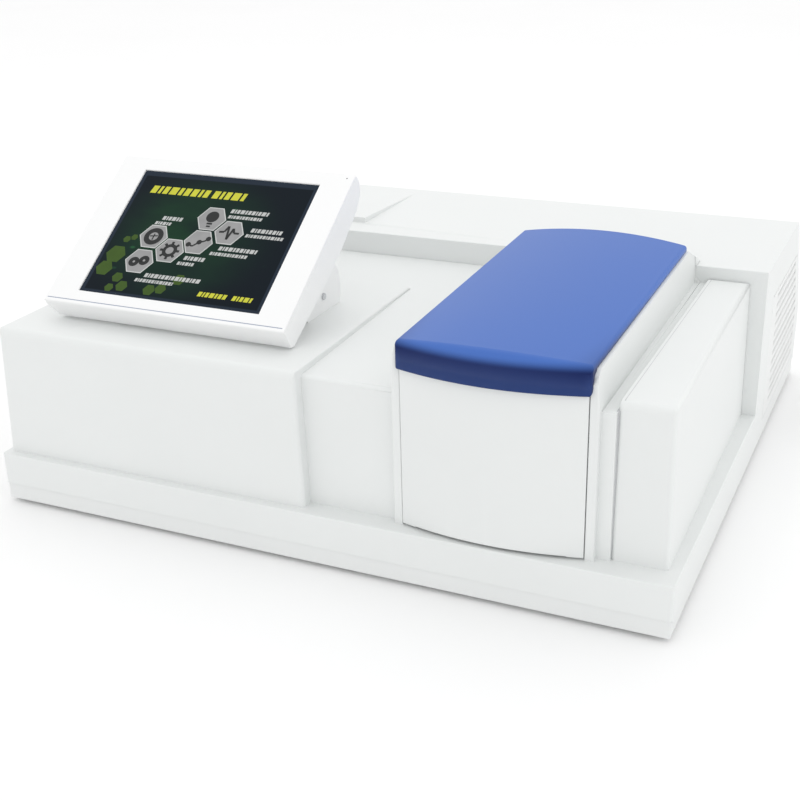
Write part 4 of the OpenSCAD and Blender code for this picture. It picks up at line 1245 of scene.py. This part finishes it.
@dataclass
class TouchDisplay:
    """The tilting display: case, bezel, glass and what the panel shows.

    Attributes:
        tile: The radius of a tile, in metres.
        tiles: Each tile's place on the glass and its mark.
        cells: The dim shapes behind the tiles: place and radius.
        title: The bars in yellow: left end, height on the glass, length, thickness.
        labels: The bars in white, laid out in the same way.
        field_lift: How far the lit field lies above the glass. The other lifts go on from there.
    """

    tile: float = 0.0145
    field_lift: float = 0.00005
    cell_lift: float = 0.00008
    rim_lift: float = 0.00010
    tile_lift: float = 0.00014
    bar_lift: float = 0.00016
    mark_lift: float = 0.00018
    dot_lift: float = 0.00020
    tiles: Tuple[Tuple[float, float, Glyph], ...] = (
        (0.0913, 0.0915, Glyph.BULB),
        (0.1145, 0.0785, Glyph.WAVE),
        (0.0898, 0.0652, Glyph.CURVE),
        (0.0666, 0.0530, Glyph.COG),
        (0.0439, 0.0661, Glyph.DIAL),
        (0.0427, 0.0384, Glyph.LINKS),
    )
    cells: Tuple[Tuple[float, float, float], ...] = (
        (0.0160, 0.0430, 0.0100),
        (0.0120, 0.0270, 0.0085),
        (0.0300, 0.0190, 0.0055),
        (0.0385, 0.0105, 0.0060),
        (0.0270, 0.0075, 0.0045),
        (0.0665, 0.0100, 0.0060),
        (0.0770, 0.0125, 0.0055),
        (0.0900, 0.0240, 0.0060),
        (0.0190, 0.0600, 0.0038),
        (0.0255, 0.0630, 0.0034),
    )
    title: Tuple[Tuple[float, float, float, float], ...] = (
        (0.0160, 0.1182, 0.060, 0.0085),
        (0.0800, 0.1182, 0.036, 0.0085),
        (0.1140, 0.0125, 0.030, 0.0048),
        (0.1470, 0.0125, 0.020, 0.0048),
    )
    labels: Tuple[Tuple[float, float, float, float], ...] = (
        (0.1060, 0.1020, 0.040, 0.0042),
        (0.1060, 0.0957, 0.033, 0.0034),
        (0.1340, 0.0836, 0.030, 0.0042),
        (0.1310, 0.0774, 0.038, 0.0034),
        (0.1120, 0.0612, 0.039, 0.0042),
        (0.1060, 0.0550, 0.036, 0.0034),
        (0.0430, 0.0872, 0.023, 0.0042),
        (0.0380, 0.0812, 0.018, 0.0034),
        (0.0840, 0.0472, 0.022, 0.0042),
        (0.0800, 0.0410, 0.018, 0.0034),
        (0.0550, 0.0247, 0.056, 0.0042),
        (0.0480, 0.0188, 0.040, 0.0034),
    )

    def build(self, dresser: Dresser) -> None:
        """Makes the display's parts and what it shows."""
        self.lay_out()
        bezel = Blank.of_nodes("bezel", "display_bezel").round_edges(
            Rounding(0.0012, lambda at, line: self.rim(at)),
            Rounding(0.0007, lambda at, line: self.flat(at)[2] > -0.001),
            Rounding(0.0002, lambda at, line: True),
        )
        bezel.finish(dresser, BEZEL, Ride.DISPLAY, ["display_bezel"], segments=4)
        case = Blank.of_nodes("display_back", "display_case").round_edges(
            Rounding(0.0014, lambda at, line: self.flat(at)[2] < -0.005 and not self.below(at)),
            Rounding(0.0008, lambda at, line: self.below(at)),
            Rounding(0.0005, lambda at, line: True),
        )
        case.finish(dresser, BEZEL, Ride.DISPLAY, ["display_case"], segments=4)
        self.show(dresser)
        self.trim(dresser)
        dresser.node("display_panel", MODULE, 0.0003)
        stand = Blank.of_nodes("stand", "display_stand").round_edges(
            Rounding(0.0009, lambda at, line: True)
        )
        stand.finish(dresser, STAND, Ride.CABINET, ["display_stand"], segments=3)
        dresser.node("tilt_pins", STEEL, 0.0003)

    def lay_out(self) -> None:
        """Finds the plane of the glass from its CAD node."""
        low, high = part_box("touch_glass")
        bezel_low, bezel_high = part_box("display_bezel")
        self.width = high.x - low.x
        verts = [v.co.copy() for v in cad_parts["touch_glass"].data.vertices]
        left = [v for v in verts if near(v.x, low.x, 1e-5)]
        bottom = min(left, key=lambda v: v.y)
        top = max(left, key=lambda v: v.z)
        self.up = (top - bottom).normalized()
        self.out = Vector((1, 0, 0)).cross(self.up).normalized()
        self.corner = bottom
        self.height = (top - bottom).length
        self.size_x = bezel_high.x - bezel_low.x
        rim = [v.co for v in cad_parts["display_bezel"].data.vertices]
        lowest = min(rim, key=lambda v: v.y)
        self.base = Vector((bezel_low.x, lowest.y, lowest.z))
        self.size_s = max((v - self.base).dot(self.up) for v in rim)

    def flat(self, at: Vector) -> Tuple[float, float, float]:
        """A point's place across the face, up the face and out of it."""
        away = at - self.base
        return away.x, away.dot(self.up), away.dot(self.out)

    def rim(self, at: Vector) -> bool:
        """True for the outer edge of the bezel's front face and its four corners."""
        u, s, out = self.flat(at)
        margin = 0.001
        outer = u < margin or u > self.size_x - margin or s < margin or s > self.size_s - margin
        return outer and out > -0.0035

    def below(self, at: Vector) -> bool:
        """True for the lugs behind the case."""
        return self.flat(at)[2] < -0.0309

    def on_glass(self, u: float, v: float, lift: float) -> Vector:
        """A place on the glass, from its lower left corner, a little above its face."""
        return self.corner + Vector((u, 0, 0)) + self.up * v + self.out * lift

    def show(self, dresser: Dresser) -> None:
        """Makes everything that the display shows."""
        self.show_field(dresser)
        self.show_tiles(dresser)
        self.show_bars(dresser)

    def show_field(self, dresser: Dresser) -> None:
        """Makes the lit field over the whole glass."""
        field = Blank("screen_field")
        columns, rows = 24, 20
        grid = []
        for j in range(rows + 1):
            row = []
            for i in range(columns + 1):
                spot = self.on_glass(
                    self.width * i / columns, self.height * j / rows, self.field_lift
                )
                row.append(field.mesh.verts.new(spot))
            grid.append(row)
        field.web(grid)
        glow = ScreenField("screen_field", "screen", 1.0)
        field.finish(dresser, glow, Ride.DISPLAY, ["touch_glass"])

    def show_tiles(self, dresser: Dresser) -> None:
        """Makes the tiles with their rims and marks, and the dim cells behind them."""
        tiles, rims, marks = Blank("screen_tiles"), Blank("screen_tile_rims"), Blank("screen_marks")
        for u, v, glyph in self.tiles:
            self.disc(rims, u, v, self.tile, 6, self.rim_lift)
            self.disc(tiles, u, v, self.tile * 0.93, 6, self.tile_lift)
            self.mark(marks, u, v, glyph)
        tiles.finish(dresser, LitMark("tile_grey", "screen", (0.34, 0.34, 0.34)), Ride.DISPLAY)
        rims.finish(dresser, LitMark("tile_rim", "screen", (0.62, 0.63, 0.62)), Ride.DISPLAY)
        marks.finish(dresser, LitMark("mark_dark", "screen", (0.03, 0.032, 0.03)), Ride.DISPLAY)
        cells = Blank("screen_cells")
        for u, v, radius in self.cells:
            self.disc(cells, u, v, radius, 6, self.cell_lift)
        cells.finish(dresser, LitMark("cell_green", "screen", (0.05, 0.10, 0.012)), Ride.DISPLAY)

    def show_bars(self, dresser: Dresser) -> None:
        """Makes the rows of dashes in yellow and in white."""
        title, labels = Blank("screen_title_bars"), Blank("screen_label_bars")
        for u, v, length, size in self.title:
            self.bar(title, u, v, length, size)
        for u, v, length, size in self.labels:
            self.bar(labels, u, v, length, size)
        title.finish(dresser, LitMark("bar_yellow", "screen", (0.62, 0.62, 0.05)), Ride.DISPLAY)
        labels.finish(dresser, LitMark("bar_white", "screen", (0.55, 0.56, 0.55)), Ride.DISPLAY)

    def disc(
        self, blank: Blank, u: float, v: float, radius: float, sides: int, lift: float
    ) -> None:
        """Adds a flat regular shape to what the display shows."""
        blank.face(
            self.on_glass(
                u + radius * math.cos(2 * math.pi * i / sides),
                v + radius * math.sin(2 * math.pi * i / sides),
                lift,
            )
            for i in range(sides)
        )

    def ring(self, blank: Blank, u: float, v: float, radius: float, width: float) -> None:
        """Adds a flat ring to what the display shows."""
        sides = 28
        inner = radius - width
        for i in range(sides):
            start, end = (2 * math.pi * (i + k) / sides for k in (0, 1))
            blank.face(
                self.on_glass(u + r * math.cos(a), v + r * math.sin(a), self.mark_lift)
                for r, a in ((radius, start), (radius, end), (inner, end), (inner, start))
            )

    def stroke(self, blank: Blank, points: Sequence[Flat], width: float) -> None:
        """Adds a thick line to what the display shows."""
        for (u0, v0), (u1, v1) in zip(points, points[1:]):
            length = math.hypot(u1 - u0, v1 - v0) or 1.0
            du, dv = (v1 - v0) / length * width / 2, -(u1 - u0) / length * width / 2
            blank.face(
                self.on_glass(u, v, self.mark_lift)
                for u, v in (
                    (u0 + du, v0 + dv),
                    (u1 + du, v1 + dv),
                    (u1 - du, v1 - dv),
                    (u0 - du, v0 - dv),
                )
            )

    def bar(self, blank: Blank, u: float, v: float, length: float, size: float) -> None:
        """Adds a row of short slanted dashes of uneven length."""
        at = 0.0
        pattern = (1.3, 0.6, 1.1, 1.6, 0.8, 1.2)
        count = 0
        while at < length - size * 0.6:
            dash = min(size * pattern[count % len(pattern)] * 0.55, length - at)
            lean = size * 0.18
            blank.face(
                self.on_glass(a, b, self.bar_lift)
                for a, b in (
                    (u + at, v - size / 2),
                    (u + at + dash, v - size / 2),
                    (u + at + dash + lean, v + size / 2),
                    (u + at + lean, v + size / 2),
                )
            )
            at += dash + size * 0.22
            count += 1

    def mark(self, blank: Blank, u: float, v: float, glyph: Glyph) -> None:
        """Adds the mark in the middle of a tile, laid out in units of its size."""
        size = self.tile * 0.68

        def line(width: float, *points: Flat) -> None:
            """Adds a thick line through the points."""
            self.stroke(blank, [(u + size * a, v + size * b) for a, b in points], size * width)

        if glyph is Glyph.BULB:
            self.disc(blank, u, v + size * 0.22, size * 0.62, 28, self.mark_lift)
            line(0.2, (-0.28, -0.55), (0.28, -0.55))
            line(0.18, (-0.2, -0.86), (0.2, -0.86))
        elif glyph is Glyph.WAVE:
            rise = ((-1.0, 0.0), (-0.5, 0.05), (-0.25, 0.7))
            line(0.22, *rise, (0.02, -0.75), (0.28, 0.5), (0.48, 0.0), (1.0, 0.0))
        elif glyph is Glyph.CURVE:
            steps = ((-0.85, -0.35), (-0.4, -0.5), (0.1, 0.0), (0.55, 0.15), (0.85, 0.45))
            line(0.18, *steps)
            for a, b in steps[::2]:
                self.disc(blank, u + size * a, v + size * b, size * 0.26, 16, self.dot_lift)
        elif glyph is Glyph.COG:
            self.ring(blank, u, v, size * 0.72, size * 0.34)
            for i in range(8):
                turn = 2 * math.pi * i / 8
                line(0.26, *((r * math.cos(turn), r * math.sin(turn)) for r in (0.66, 0.98)))
        elif glyph is Glyph.DIAL:
            self.ring(blank, u, v, size * 0.95, size * 0.5)
            line(0.13, (0.0, -0.4), (0.0, 0.3))
            line(0.13, (-0.4, 0.0), (0.4, 0.1))
        else:
            for shift in (-0.5, 0.45):
                self.ring(blank, u + size * shift, v + size * shift * 0.25, size * 0.52, size * 0.4)
            line(0.2, (-0.3, 0.0), (0.3, 0.0))

    def trim(self, dresser: Dresser) -> None:
        """Makes a blue-grey strip of painted shadow for the seam low on the face, and the small port at
        its corner.
        """
        seam = Blank("bezel_seam_shadow")
        across = self.size_x
        lean = Matrix(
            (
                (1, self.up.x, self.out.x, self.base.x),
                (0, self.up.y, self.out.y, self.base.y),
                (0, self.up.z, self.out.z, self.base.z),
                (0, 0, 0, 1),
            )
        )
        # Painted shadow: a thin blue-grey slab along the seam's line.
        seam.slab((0.0025, 0.0033, -0.0003), (across - 0.0025, 0.0041, 0.00004), lean)
        seam.finish(dresser, BLUE_SEAM_SHADOW, Ride.DISPLAY)
        port = Blank("bezel_port")
        spot = lean @ Vector((across - 0.0065, self.size_s - 0.0055, -0.0004))
        port.tube(spot, spot + self.out * 0.00045, 0.0006, 20)
        port.finish(dresser, PORT, Ride.DISPLAY)


@dataclass
class Compartment:
    """The sample compartment under the lid.

    Attributes:
        wall: The thickness of a cuvette's wall.
        meniscus: How high the liquid stands, as a part of the cuvette's height.
        creep: How far it climbs where it meets the walls.
    """

    wall: float = 0.00125
    meniscus: float = 0.62
    creep: float = 0.0006

    def build(self, dresser: Dresser) -> None:
        """Dresses the tub, the holders and the windows, and fills the cuvettes."""
        dresser.nodes(COAT, "sample_tub", "cell_holders", bevel=0.0004)
        dresser.node("holder_plate", PLATE, 0.0005)
        dresser.node("beam_windows", CLEAR)
        tints = (
            ("sample", Ride.SAMPLE_CELL, (0.75, 0.5, 0.08)),
            ("reference", Ride.REFERENCE_CELL, (0.93, 0.96, 0.98)),
        )
        for word, body, tint in tints:
            node = f"{word}_cuvette"
            dresser.node(node, CLEAR)
            self.fill(dresser, node, word, body, tint)

    def fill(self, dresser: Dresser, node: str, word: str, body: Ride, tint: Colour) -> None:
        """Makes the liquid in a cuvette, with a raised rim where it meets the walls.

        Args:
            dresser: Where its material comes from.
            node: The cuvette's node.
            word: The liquid's name.
            body: What it rides on.
            tint: Its colour.
        """
        low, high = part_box(node)
        inset = self.wall - 0.0001
        x0, x1, y0, y1 = low.x + inset, high.x - inset, low.y + inset, high.y - inset
        bottom = low.z + 0.0015
        surface = low.z + (high.z - low.z) * self.meniscus
        blank = Blank(f"{word}_liquid")
        steps = 8
        top = []
        for j in range(steps + 1):
            row = []
            for i in range(steps + 1):
                u, v = i / steps, j / steps
                rim = max(abs(2 * u - 1), abs(2 * v - 1)) ** 6
                spot = (x0 + (x1 - x0) * u, y0 + (y1 - y0) * v, surface + self.creep * rim)
                row.append(blank.mesh.verts.new(spot))
            top.append(row)
        blank.web(top)
        border = outline(top)
        feet = [blank.mesh.verts.new((vert.co.x, vert.co.y, bottom)) for vert in border]
        for i, vert in enumerate(border):
            after = (i + 1) % len(border)
            blank.mesh.faces.new((vert, feet[i], feet[after], border[after]))
        blank.mesh.faces.new(feet)
        bmesh.ops.recalc_face_normals(blank.mesh, faces=blank.mesh.faces)
        blank.finish(dresser, Quartz(f"{word}_liquid", "quartz", tint, 1.33), body)


@dataclass
class OpticsBench:
    """The lamps, the monochromator, the chopper, the mirrors and the detector."""

    broken: float = 0.0004

    def build(self, dresser: Dresser) -> None:
        """Dresses the bench's pieces."""
        dresser.nodes(PLATE, "optical_base", "lamp_house", "detector_case", bevel=self.broken)
        dresser.nodes(PLATE, "grating_table", "chopper_disc")
        dresser.nodes(STEEL, "base_standoffs", "wheel_motor", bevel=self.broken)
        dresser.nodes(COAT, "monochromator_case", "monochromator_lid", bevel=self.broken)
        dresser.nodes(COAT, "grating_motor", "chopper_motor", bevel=self.broken)
        dresser.node("filter_wheel", COAT, 0.0003)
        dresser.nodes(MIRROR, "source_mirror", "concave_mirrors", "diffraction_grating", "beam_mirrors")
        dresser.nodes(CLEAR, "deuterium_lamp", "tungsten_lamp", "photomultiplier")


@dataclass
class Electronics:
    """The power supply and the main board."""

    def build(self, dresser: Dresser) -> None:
        """Dresses the electronics."""
        dresser.node("power_supply", STEEL, 0.0005)
        dresser.node("main_board", BOARD)
        dresser.node("board_parts", BLACK, 0.0003)


@dataclass
class RearConnectors:
    """The inlet, the switch and the data ports."""

    broken: float = 0.0005

    def build(self, dresser: Dresser) -> None:
        """Dresses the rear panel and everything in it."""
        dresser.node("rear_panel", PLATE, 0.0003)
        dresser.nodes(BLACK, "power_socket", "switch_frame", "fuse_drawer", bevel=self.broken)
        dresser.nodes(STEEL, "socket_pins", "usb_port", "serial_port", bevel=0.0002)
        self.rocker(dresser)

    def rocker(self, dresser: Dresser) -> None:
        """Makes the rocker with softened edges."""
        blank = Blank.of_nodes("rocker", "power_rocker").round_edges(
            Rounding(0.0008, lambda at, line: True)
        )
        blank.finish(dresser, ROCKER, Ride.ROCKER, ["power_rocker"], segments=3)


@dataclass
class CoolingFan:
    """The fan behind the louvres, with swept blades.

    Attributes:
        blades: How many blades it has.
        sweep: How far a blade's tip leads its root, in degrees.
        pitch: The blade's pitch at its root, in degrees.
        thickness: The blade's thickness.
        hub: The hub's radius.
        chord: The blade's width at its root.
        flare: How much wider it is at its tip.
        camber: How far it bows.
    """

    blades: int = 7
    sweep: float = 22.0
    pitch: float = 42.0
    thickness: float = 0.0013
    hub: float = 0.017
    chord: float = 0.019
    flare: float = 0.006
    camber: float = 0.0022

    def build(self, dresser: Dresser) -> None:
        """Dresses the frame and makes the rotor."""
        dresser.node("fan_frame", BLACK, 0.0006)
        low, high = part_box("fan_rotor")
        middle = (low + high) / 2
        tip = (high.y - low.y) / 2 - 0.0008
        blank = Blank("rotor")
        start = Vector((low.x + 0.0002, middle.y, middle.z))
        end = Vector((high.x, middle.y, middle.z))
        blank.tube(start, end, self.hub, 48, 0.0012)
        half = (high.x - low.x) / 2 - 0.001
        for blade in range(self.blades):
            self.blade(blank, middle, tip, half, 360.0 / self.blades * blade)
        blank.finish(dresser, BLACK, Ride.FAN, ["fan_rotor"])

    def blade(self, blank: Blank, middle: Vector, tip: float, half: float, turn: float) -> None:
        """Adds one twisted blade.

        Args:
            blank: The mesh it goes in.
            middle: The rotor's middle.
            tip: The blade's outer radius.
            half: Half the depth that it may take up along the axis.
            turn: Its place round the hub, in degrees.
        """
        rows, columns = 10, 8
        root = self.hub - 0.001
        skins = []
        for side in (1.0, -1.0):
            grid = []
            for i in range(rows + 1):
                out = i / rows
                radius = root + (tip - root) * out
                pitch = math.radians(self.pitch * (1.0 - 0.35 * out))
                chord = self.chord + self.flare * out
                row = []
                for j in range(columns + 1):
                    along = j / columns - 0.5
                    bow = self.camber * (1.0 - (2 * along) ** 2)
                    depth = along * chord * math.sin(pitch) + bow
                    depth = max(-half, min(half, depth)) + side * self.thickness / 2
                    angle = math.radians(turn + self.sweep * out)
                    angle += along * chord * math.cos(pitch) / radius
                    spot = Vector((depth, radius * math.cos(angle), radius * math.sin(angle)))
                    row.append(blank.mesh.verts.new(middle + spot))
                grid.append(row)
            blank.web(grid, flip=side > 0)
            skins.append(outline(grid))
        upper, lower = skins
        for i in range(len(upper)):
            after = (i + 1) % len(upper)
            blank.mesh.faces.new((upper[i], upper[after], lower[after], lower[i]))


@dataclass
class Feet:
    """The rubber feet and their screws."""

    def build(self, dresser: Dresser) -> None:
        """Dresses the feet."""
        dresser.node("feet", RUBBER, 0.0006)
        dresser.node("foot_screws", STEEL, 0.0002)


# ------------------------------------------------------------------ studio


@dataclass
class Studio:
    """The floor, the lights and the camera.

    Attributes:
        eye: Where the camera stands.
        turn: The camera's turn to the left, in degrees.
        dip: How far it looks down, in degrees.
        roll: Its roll, in degrees.
        lens: Its focal length in millimetres on a 36 mm sensor.
        sky: The strength of the room's even light.
    """

    eye: Point = (0.4508, -1.0543, 0.527)
    turn: float = 24.927
    dip: float = 23.249
    roll: float = -1.4825
    lens: float = 57.07
    sky: float = 1.03

    def build(self) -> None:
        """Makes the whole studio."""
        self.floor()
        self.world()
        self.lamp("key", (1.9, -0.7, 2.3), (0.0, -0.05, 0.12), 1.7, 2.8)
        self.lamp("top", (-0.3, 0.6, 2.7), (0.0, 0.0, 0.1), 2.0, 6.0)
        self.lamp("side", (2.4, 0.5, 0.9), (0.2, 0.1, 0.1), 1.4, 1.6)
        self.camera()
        bpy.context.scene.view_settings.view_transform = "Standard"

    def floor(self) -> None:
        """Makes the pale floor."""
        mesh = bmesh.new()
        bmesh.ops.create_grid(mesh, x_segments=24, y_segments=24, size=60.0)
        data = bpy.data.meshes.new("floor")
        mesh.to_mesh(data)
        mesh.free()
        piece = bpy.data.objects.new("floor", data)
        bpy.context.scene.collection.objects.link(piece)
        sheet = Sheet("pale_floor")
        at = sheet.place()
        colour = sheet.blend(sheet.cloud(at, 0.6, 3.0), (0.93, 0.93, 0.93), (0.96, 0.96, 0.96))
        grain = sheet.cloud(at, 0.004, 2.0)
        data.materials.append(
            sheet.surface(
                {
                    "Base Color": colour,
                    "Roughness": 0.85 + grain * 0.05,
                    "Normal": sheet.relief(grain, 0.00002),
                    "Specular IOR Level": 0.2,
                }
            )
        )

    def world(self) -> None:
        """Makes the even light of the room."""
        scene = bpy.context.scene
        scene.world = scene.world or bpy.data.worlds.new("room")
        scene.world.use_nodes = True
        ground = scene.world.node_tree.nodes["Background"]
        ground.inputs[0].default_value = (1.0, 1.0, 1.0, 1.0)
        ground.inputs[1].default_value = self.sky

    def lamp(self, name: str, place: Point, aim: Point, size: float, power: float) -> None:
        """Makes one large soft light.

        Args:
            name: Its name.
            place: Where it stands.
            aim: What it points at.
            size: The side of its square, in metres.
            power: Its power, in watts.
        """
        light = bpy.data.lights.new(name, "AREA")
        light.size, light.energy = size, power
        piece = bpy.data.objects.new(name, light)
        piece.location = place
        line = Vector(aim) - Vector(place)
        piece.rotation_euler = line.to_track_quat("-Z", "Y").to_euler()
        bpy.context.scene.collection.objects.link(piece)

    def camera(self) -> None:
        """Makes the camera at its viewing angle."""
        data = bpy.data.cameras.new("camera")
        data.lens, data.sensor_width = self.lens, 36.0
        data.clip_start, data.clip_end = 0.01, 200.0
        turn, dip, roll = (math.radians(value) for value in (self.turn, self.dip, self.roll))
        ahead = Vector(
            (-math.sin(turn) * math.cos(dip), math.cos(turn) * math.cos(dip), -math.sin(dip))
        )
        right = Vector((math.cos(turn), math.sin(turn), 0.0))
        up = right.cross(ahead)
        right, up = (
            math.cos(roll) * right + math.sin(roll) * up,
            -math.sin(roll) * right + math.cos(roll) * up,
        )
        rows = [(right[i], up[i], -ahead[i], self.eye[i]) for i in range(3)]
        piece = bpy.data.objects.new("camera", data)
        piece.matrix_world = Matrix((*rows, (0.0, 0.0, 0.0, 1.0)))
        bpy.context.scene.collection.objects.link(piece)
        bpy.context.scene.camera = piece


def main() -> None:
    """Builds every sub-assembly, then the studio."""
    logging.basicConfig(level=logging.INFO, format="%(name)s: %(message)s")
    dresser = Dresser()
    parts = (
        Cabinet(), SampleLid(), FrontPanel(), TouchDisplay(), Compartment(), OpticsBench(),
        Electronics(), RearConnectors(), CoolingFan(), Feet(),
    )
    for part in parts:
        LOG.info("building %s", type(part).__name__)
        part.build(dresser)
    Studio().build()
    LOG.info("%d pieces made or dressed", dresser.count)


if __name__ == "__main__":
    main()
